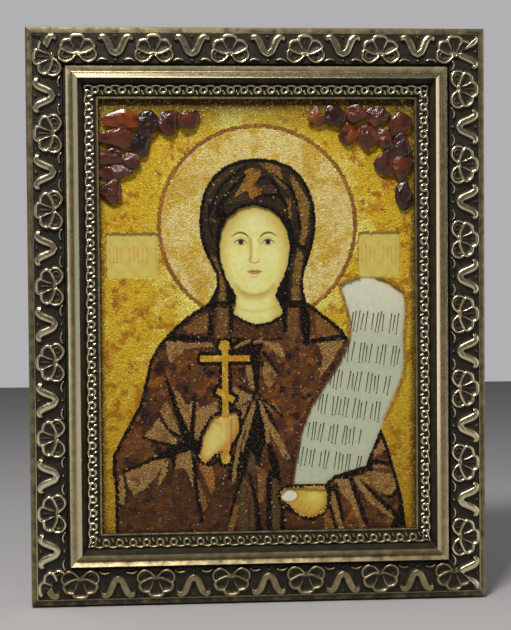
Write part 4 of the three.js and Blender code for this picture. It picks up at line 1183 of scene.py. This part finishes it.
def mottle(x, y, size, seed):
    """Cloudy patches of about this size, from 0 to 1."""
    chance = np.random.default_rng(seed)
    wide, high = MOTTLED_FIELD
    columns, rows = math.ceil(wide / size) + 3, math.ceil(high / size) + 3
    lattice = chance.random((rows, columns))
    u, v = (x + wide / 2) / size, (y + high / 2) / size
    i, j = np.floor(u).astype(int), np.floor(v).astype(int)
    fu, fv = u - i, v - j
    fu, fv = fu * fu * (3 - 2 * fu), fv * fv * (3 - 2 * fv)
    below = lattice[j, i] * (1 - fu) + lattice[j, i + 1] * fu
    above = lattice[j + 1, i] * (1 - fu) + lattice[j + 1, i + 1] * fu
    return below * (1 - fv) + above * fv


def lay_strokes(colours, x, y, strokes, colour, cover=1.0, blur=0.5, broader=1.0):
    for line, widths in strokes:
        lay(colours, colour, cover * brush(line, x, y, np.array(widths) * broader, blur))


def lay_patches(colours, x, y, outlines, colour, cover=1.0):
    for outline in outlines:
        lay(colours, colour, cover * inside(np.array(outline, float), x, y))


def background_colours(x, y, _):
    colours = np.tile(paint(AMBER_LEMON), (len(x), 1))
    cloud = 0.5 * mottle(x, y, 9, 1) + 0.3 * mottle(x, y, 4, 2) + 0.2 * mottle(x, y, 1.8, 3)
    from_halo = np.hypot(x - HALO_PLACE[0], y - HALO_PLACE[1]) - HALO_REACH
    outwards = np.clip(np.abs(x) / 70, 0, 1) * 0.25 + np.clip(from_halo / 40, 0, 0.3)
    lay(colours, AMBER_HONEY, (cloud + outwards - 0.52) * 3)
    fleck = 0.6 * mottle(x, y, 3.2, 4) + 0.4 * mottle(x, y, 1.4, 5)
    lay(colours, AMBER_RUST, (fleck + outwards / 3 - 0.68) * 5)
    for side in SCROLL_SIDES:
        lay(colours, AMBER_OCHRE, 0.85 * brush(side, x, y, (1.1, 1.1), 1.0))
    # painted shade: the background darkens towards the lower corners, where less light falls
    painted_low_shade = np.clip((-20 - y) / 75, 0, 1) * np.clip(np.abs(x) / 50, 0, 1)
    lay(colours, AMBER_LOW_SHADE, 0.75 * painted_low_shade)
    from_top, from_side = SIGHT[1] / 2 - y, SIGHT[0] / 2 - np.abs(x)
    # painted shade: the crumbs turn olive towards the top, the soft edge of the lip's shadow
    lay(colours, PAINTED_SHADE_OLIVE, 0.5 * np.clip((17 - from_top) / 11, 0, 1))
    # painted shadow: the crumbs under the frame's lip, at the top and along the sides, are darkened as
    # the lip's shadow, partly also as dark glue where they thin out
    lay(colours, AMBER_UMBER, 0.95 * np.clip((6.4 - from_top) / 4.4, 0, 1))
    lay(colours, AMBER_UMBER, 0.8 * np.clip((2.8 - from_side) / 2.2, 0, 1))
    return colours


def halo_colours(x, y, _):
    colours = np.tile(paint(AMBER_BONE), (len(x), 1))
    cloud = 0.55 * mottle(x, y, 6, 6) + 0.45 * mottle(x, y, 2.6, 7)
    lay(colours, AMBER_PEACH, (cloud - 0.47) * 4)
    lay(colours, AMBER_HONEY, (0.5 * mottle(x, y, 3, 8) + 0.5 * mottle(x, y, 1.3, 9) - 0.58) * 5)
    return colours


def ring_colours(x, y, _):
    colours = np.tile(paint(AMBER_CHESTNUT), (len(x), 1))
    lay(colours, AMBER_APRICOT, (mottle(x, y, 7, 10) - 0.45) * 2)
    from_line = np.abs(np.hypot(x - HALO_PLACE[0], y - HALO_PLACE[1]) - RING_MIDLINE)
    lay(colours, AMBER_PEACH, (from_line - 0.3) * 1.6)
    return colours


def veil_colours(x, y, edge):
    colours = np.tile(paint(AMBER_UMBER), (len(x), 1))
    lay(colours, AMBER_BLACK, (mottle(x, y, 3, 11) - 0.5) * 1.2)
    lay_patches(colours, x, y, VEIL_UMBER, AMBER_WALNUT, 0.8)
    lay_patches(colours, x, y, VEIL_GREEN, AMBER_GREYGREEN, 0.9)
    lay_patches(colours, x, y, VEIL_TAN, AMBER_SAND, 0.9)
    lay_patches(colours, x, y, VEIL_GOLD, AMBER_CARAMEL, 0.9)
    lay(colours, AMBER_UMBER, (mottle(x, y, 2.2, 17) - 0.55) * 2)
    lay_strokes(colours, x, y, VEIL_FOLDS, AMBER_BLACK, broader=1.2)
    lay(colours, AMBER_BLACK, 0.95 * edge)
    return colours


def mantle_colours(x, y, edge):
    colours = np.tile(paint(AMBER_BROWN), (len(x), 1))
    cloud = 0.5 * mottle(x, y, 7, 12) + 0.5 * mottle(x, y, 3, 13)
    lay(colours, AMBER_MAROON, (cloud - 0.42) * 4)
    lay(colours, AMBER_CHESTNUT, (0.5 * mottle(x, y, 4.5, 14) + 0.5 * mottle(x, y, 1.6, 15) - 0.54) * 4)
    lay(colours, AMBER_PLUM, (0.5 * mottle(x, y, 3.4, 20) + 0.5 * mottle(x, y, 1.7, 21) - 0.58) * 5)
    # painted shade: the mantle darkens towards the bottom, left of the scroll, where less light falls
    painted_foot_shade = np.clip((-55 - y) / 25, 0, 0.6) * (x < 28)
    lay(colours, AMBER_UMBER, painted_foot_shade)
    lay(colours, AMBER_COCOA, 0.6 * np.clip((y + 10) / 2, 0, 1))
    lay_patches(colours, x, y, TAN_PATCHES, AMBER_TAN, 0.9)
    lay_patches(colours, x, y, OLIVE_PATCHES, AMBER_OLIVE, 0.9)
    lay_patches(colours, x, y, RUST_PATCHES, AMBER_SIENNA, 0.85)
    lay_strokes(colours, x, y, VEIL_DROPS, DROP_BROWN, 0.8, 1.0)
    lay(colours, AMBER_BROWN, (mottle(x, y, 2.4, 18) - 0.6) * 2)
    lay_strokes(colours, x, y, FOLDS, AMBER_BLACK, broader=1.35)
    lay_patches(colours, x, y, BLACK_PATCHES, AMBER_BLACK)
    lay_strokes(colours, x, y, TIES, AMBER_TAN, 0.85, 0.4)
    lay(colours, WRIST_GOLD, 0.95 * brush(WRIST, x, y, (2.2, 2.3, 1.2), 0.5))
    lay(colours, AMBER_BLACK, brush([(-0.9, -16), (-1.1, -34)], x, y, (1.7, 1.1), 0.4))
    lay(colours, AMBER_BLACK, edge)
    for side in SCROLL_SIDES:
        lay(colours, SEAM_RED, brush(side, x, y, (1.0, 1.0), 0.4))
    for knob_x, knob_y, radius in CROSS_KNOBS:
        rim = radius + 1.5 - np.hypot(x - knob_x, y - knob_y)
        lay(colours, AMBER_BLACK, np.clip(rim / 0.3, 0, 1))
    for hand in (UPPER_HAND, LOWER_HAND):
        lay(colours, AMBER_BLACK, brush(hand + hand[:1], x, y, (0.8, 0.8)))
        lay(colours, HAND_GROUND, inside(np.array(hand, float), x, y))
    knot = np.hypot(x + 1.2, y + 35.6)
    lay(colours, AMBER_BLACK, np.clip((2.2 - knot) / 0.5, 0, 1))
    lay(colours, AMBER_OLIVE, np.clip((1.1 - knot) / 0.4, 0, 1))
    return colours


def cross_colours(x, y, _):
    colours = np.tile(paint(AMBER_GOLD), (len(x), 1))
    lay(colours, AMBER_LEMON, (mottle(x, y, 3, 16) - 0.5) * 2)
    return colours



def knob_places(x, y):
    near = np.zeros(x.shape, bool)
    for knob_x, knob_y, radius in CROSS_KNOBS:
        near |= np.hypot(x - knob_x, y - knob_y) < radius
    return near


def under_fingers(x, y):
    return inside(np.array(UPPER_HAND, float), x, y)


def in_opening(opening, x, y):
    middle_x, middle_y, half_width, half_height = opening
    return (np.abs(x - middle_x) < half_width) & (np.abs(y - middle_y) < half_height)


def beside_hands(x, y):
    """The rest of the openings left for the hands, which crumbs fill up to their outlines."""
    upper = in_opening(UPPER_OPENING, x, y) & (np.abs(x - STEM) > STEM_HALF)
    lower = in_opening(LOWER_OPENING, x, y) & ~inside(np.array(LOWER_HAND, float), x, y)
    return (upper & ~under_fingers(x, y)) | lower


def on_bed(tree, x, y):
    """Whether each place lies on a bed, tried by a line straight at the wall."""
    starts = picture_place(x, y, np.full(x.shape, 40.0))
    return np.array([tree.ray_cast(Vector(p), Vector((0, 1, 0)))[0] is not None for p in starts])


def end_of_bed(tree, x, y):
    """1 where the bed ends close by, 0 elsewhere."""
    edge = np.zeros(len(x))
    for angle in np.arange(0, 2 * math.pi, math.pi / 4):
        beyond_x, beyond_y = x + EDGE_REACH * math.cos(angle), y + EDGE_REACH * math.sin(angle)
        edge = np.maximum(edge, 1.0 - on_bed(tree, beyond_x, beyond_y))
    return edge


def shaken_places(low, high, pitch, radius, chance):
    """Places over a bed's box, in rows set like bricks and each shaken a little out of line."""
    left, bottom = picture_spot(low)
    right, top = picture_spot(high)
    limit_x, limit_y = SIGHT[0] / 2 + radius, SIGHT[1] / 2 + radius
    xs = np.arange(max(left, -limit_x), min(right, limit_x), pitch)
    ys = np.arange(max(bottom, -limit_y), min(top, limit_y), pitch * ROW_SHARE)
    x, y = np.meshgrid(xs, ys)
    x = x + (np.arange(len(ys)) % 2)[:, None] * pitch / 2
    x = (x + chance.uniform(-SHAKE, SHAKE, x.shape) * pitch).ravel()
    y = (y + chance.uniform(-SHAKE, SHAKE, y.shape) * pitch).ravel()
    return x, y


def one_crumb():
    bm = bmesh.new()
    bmesh.ops.create_uvsphere(bm, u_segments=4, v_segments=2, radius=1)
    co = np.array([vert.co[:] for vert in bm.verts])
    faces = np.array([[vert.index for vert in face.verts] for face in bm.faces])
    bm.free()
    return co, faces


def chance_turns(count, chance):
    """A turn of its own for each crumb, as a matrix."""
    turns = chance.normal(size=(count, 4))
    turns /= np.linalg.norm(turns, axis=1)[:, None]
    a, b, c, d = turns.T
    rows = [
        [1 - 2 * (c * c + d * d), 2 * (b * c - a * d), 2 * (b * d + a * c)],
        [2 * (b * c + a * d), 1 - 2 * (b * b + d * d), 2 * (c * d - a * b)],
        [2 * (b * d - a * c), 2 * (c * d + a * b), 1 - 2 * (b * b + c * c)],
    ]
    return np.array(rows).transpose(2, 0, 1)


def strewn_bed(bed, slot, pitch, radius, colours_of, seed, beyond=None, left_out=None):
    """Crumbs over one bed, on a shaken grid, each turned its own way and in one colour."""
    chance = np.random.default_rng(seed)
    low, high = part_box(bed)
    x, y = shaken_places(low, high, pitch, radius, chance)
    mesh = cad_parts[bed].data
    tree = BVHTree.FromPolygons([v.co for v in mesh.vertices], [p.vertices for p in mesh.polygons])
    kept = on_bed(tree, x, y)
    beside = beyond(x, y) & ~kept if beyond else np.zeros(len(x), bool)
    absent = left_out(x, y) if left_out else np.zeros(len(x), bool)
    kept = (kept | beside) & ~absent
    x, y, beside = x[kept], y[kept], beside[kept]
    count = len(x)
    colours = colours_of(x, y, end_of_bed(tree, x, y))
    colours *= chance.uniform(0.84, 1.14, (count, 1))
    # painted highlights: a share of the crumbs is lightened towards cream as glints
    shine = chance.uniform(0.1, 0.4, count)
    lay(colours, AMBER_GLINT, shine * (chance.random(count) < GLINT_SHARE))
    co, faces = one_crumb()
    turns = chance_turns(count, chance)
    size = radius * chance.uniform(*CRUMB_SIZES, (count, 1, 3))
    crumbs = np.einsum("cij,cvj->cvi", turns, co[None] * size)
    # round the hands they lie on the board itself, elsewhere on the bed or as high as it
    on_board = beside & (bed == "amber_mantle")
    ground = np.where(on_board, BOARD_FRONT + PAINT_FRONT, (FRAME_BACK - low.y) / MM)[:, None]
    rise = ground + crumbs[:, :, 2] * CRUMB_FLATTEN + chance.uniform(*CRUMB_SINK, (count, 1))
    across, up = crumbs[:, :, 0] + x[:, None], crumbs[:, :, 1] + y[:, None]
    spots = picture_place(across.ravel(), up.ravel(), rise.ravel())
    corners = (faces[None] + (np.arange(count) * len(co))[:, None, None]).reshape(-1, faces.shape[1])
    data = bpy.data.meshes.new(bed + "_crumbs")
    data.from_pydata(spots, [], corners)
    set_colours(data, np.repeat(colours, len(co), axis=0))
    data.materials.append(crushed_amber)
    return add_piece(bed + "_crumbs", data, slot)


def crushed_amber_material():
    finish = Finish("crushed_amber")
    # black amber is dull, the clearer crumbs shine
    dull = finish.span(finish.attribute("laid_colour", "Fac"), 0.006, 0.05, 0.85, 0.3)
    finish.give(Base_Color=clouded(finish, 1800, 2, 0.85, 1.12), Roughness=dull)
    finish.give(Specular_IOR_Level=0.2)
    return finish.material


def amber_dust_material(name, dark, light):
    finish = Finish(name)
    tone = finish.ramp(finish.noise(500, 5), (0.3, paint(dark)), (0.7, paint(light)))
    finish.give(Base_Color=tone, Roughness=0.6)
    finish.bump(finish.noise(1600, 3), 0.5, 0.0003)
    return finish.material


crushed_amber = crushed_amber_material()
# Each bed with its slot, its crumbs' colours, and the dark and light of the dust under them
BEDS = {
    "amber_background": ("crumb_background", background_colours, AMBER_RUST, AMBER_HONEY),
    "amber_halo_ring": ("crumb_halo_ring", ring_colours, AMBER_BROWN, AMBER_CHESTNUT),
    "amber_halo": ("crumb_halo", halo_colours, AMBER_PEACH, AMBER_BONE),
    "amber_veil": ("crumb_veil", veil_colours, AMBER_BLACK, AMBER_UMBER),
    "amber_mantle": ("crumb_mantle", mantle_colours, AMBER_MAROON, AMBER_BROWN),
    "amber_cross": ("crumb_cross", cross_colours, AMBER_RUST, AMBER_GOLD),
}
# Where crumbs lie beyond a bed, and where they leave it free
BEYOND = {"amber_mantle": beside_hands, "amber_cross": knob_places}
LEFT_OUT = {"amber_mantle": knob_places, "amber_cross": under_fingers}
for seed, (bed, (slot, colours_of, dark, light)) in enumerate(BEDS.items(), start=40):
    pitch, radius = (FINE_PITCH, FINE_RADIUS) if bed in FINE_BEDS else (CRUMB_PITCH, CRUMB_RADIUS)
    strewn_bed(bed, slot, pitch, radius, colours_of, seed, BEYOND.get(bed), LEFT_OUT.get(bed))
    dress_node(bed, amber_dust_material(bed + "_dust", dark, light))

# Amber pebbles in the opening's upper corners: broken lumps of dark cherry amber, rubbed smooth and
# glued on in a heap, some of them clearer and orange where the light gets in.
STONE_SWELL = 1.38
STONE_NOISE = 0.3
STONE_NOISE_SCALE = 1.2
CHIP_COUNT = 10
CHIP_DEPTHS = (0.55, 0.8)
CHIP_CUT = 0.92
CHERRY = ((52, 22, 12), (118, 54, 24))
CLEAR_ORANGE = ((72, 28, 10), (166, 78, 20))
NEAR_BLACK = ((30, 16, 14), (74, 38, 30))
STONE_COLOURS = {
    "left_1": CLEAR_ORANGE,
    "left_2": NEAR_BLACK,
    "left_6": NEAR_BLACK,
    "right_1": CLEAR_ORANGE,
    "right_6": CLEAR_ORANGE,
    "right_2": NEAR_BLACK,
    "right_9": NEAR_BLACK,
    "right_12": NEAR_BLACK,
}


def pebble_material(name, dark, light):
    finish = Finish("amber_" + name)
    colour = finish.ramp(finish.noise(170, 4), (0.35, paint(dark)), (0.75, paint(light)))
    gloss = finish.span(finish.noise(500, 3), 0.35, 0.65, 0.12, 0.36)
    finish.give(Base_Color=colour, Roughness=gloss, Coat_Weight=0.4, Coat_Roughness=0.08)
    finish.bump(finish.noise(420, 4), 0.7, 0.001)
    return finish.material


def chip_off(place, chips, depths):
    """Cuts a place on the lump back nearly to each chip's flat."""
    for chip, depth in zip(chips, depths):
        over = place.dot(Vector(chip)) - depth
        if over > 0:
            place -= Vector(chip) * over * CHIP_CUT
    return place


def pebble(node, material, seed):
    chance = np.random.default_rng(seed)
    low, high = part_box(node)
    bm = bmesh.new()
    bmesh.ops.create_icosphere(bm, subdivisions=4, radius=1)
    chips = chance.normal(size=(CHIP_COUNT, 3))
    chips /= np.linalg.norm(chips, axis=1)[:, None]
    depths = chance.uniform(*CHIP_DEPTHS, CHIP_COUNT)
    drift = Vector(chance.uniform(-50, 50, 3))
    for vert in bm.verts:
        lump = 1 + STONE_NOISE * noise.noise(vert.co * STONE_NOISE_SCALE + drift)
        vert.co = chip_off(vert.co * lump, chips, depths)
    for face in bm.faces:
        face.smooth = True
    axes = {"use_axis_x": True, "use_axis_y": True, "use_axis_z": True}
    bmesh.ops.smooth_vert(bm, verts=bm.verts, factor=0.5, **axes)
    data = mesh_from(bm, node + "_polished")
    co = coordinates(data)
    co -= (co.max(axis=0) + co.min(axis=0)) / 2
    co /= co.max(axis=0)
    half = np.array(high - low) / 2 * [STONE_SWELL, 1, STONE_SWELL]
    centre = np.array(high + low) / 2
    data.vertices.foreach_set("co", (co * half + centre).ravel())
    data.materials.append(material)
    return add_piece(node + "_polished", data, "amber_pebble", node)


stone_materials = {}
for node in sorted(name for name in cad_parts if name.startswith("amber_stone_")):
    dark, light = STONE_COLOURS.get(node.removeprefix("amber_stone_"), CHERRY)
    if dark not in stone_materials:
        stone_materials[dark] = pebble_material(f"pebble_{len(stone_materials) + 1}", dark, light)
    pebble(node, stone_materials[dark], 100 + len(node) * 7 + sum(node.encode()))

# The back: a hardboard sheet held by diamond-shaped framer's points pressed into the rails, and a
# sawtooth hanger of stamped steel nailed to the top rail.
HARDBOARD_DARK = (0.19, 0.115, 0.065)
HARDBOARD_LIGHT = (0.38, 0.25, 0.15)
SCREEN_SCALE = 250
STEEL_DARK = (0.33, 0.33, 0.32)
STEEL_LIGHT = (0.60, 0.60, 0.58)


def screen_waves(finish, direction):
    """The print of the press's wire screen, in waves one way."""
    place = finish.add("TexCoord", {}).outputs["Object"]
    inputs = {"Vector": place, "Scale": SCREEN_SCALE}
    return finish.add("TexWave", inputs, bands_direction=direction).outputs["Fac"]


def hardboard_material():
    finish = Finish("hardboard_screen_side")
    fibres = finish.noise(500, 6, (1, 1, 2.5))
    colour = finish.ramp(fibres, (0.32, HARDBOARD_DARK), (0.68, HARDBOARD_LIGHT))
    finish.give(Base_Color=colour, Roughness=0.7)
    screen = finish.math("MULTIPLY", screen_waves(finish, "X"), screen_waves(finish, "Z"))
    finish.bump(screen, 0.5, 0.0003)
    return finish.material


def steel_material():
    finish = Finish("stamped_steel")
    colour = finish.ramp(finish.noise(350, 5), (0.3, STEEL_DARK), (0.65, STEEL_LIGHT))
    gloss = finish.span(finish.noise(900, 3), 0.3, 0.7, 0.25, 0.45)
    finish.give(Base_Color=colour, Metallic=1, Roughness=gloss)
    finish.bump(finish.noise(2400, 2, (1, 1, 8)), 0.06, 0.0002)
    return finish.material


steel = steel_material()
dress_node("backing_board", hardboard_material())
for node in sorted(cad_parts):
    if node.startswith(("framer_point_", "sawtooth_hanger", "hanger_nail_")):
        dress_node(node, steel)
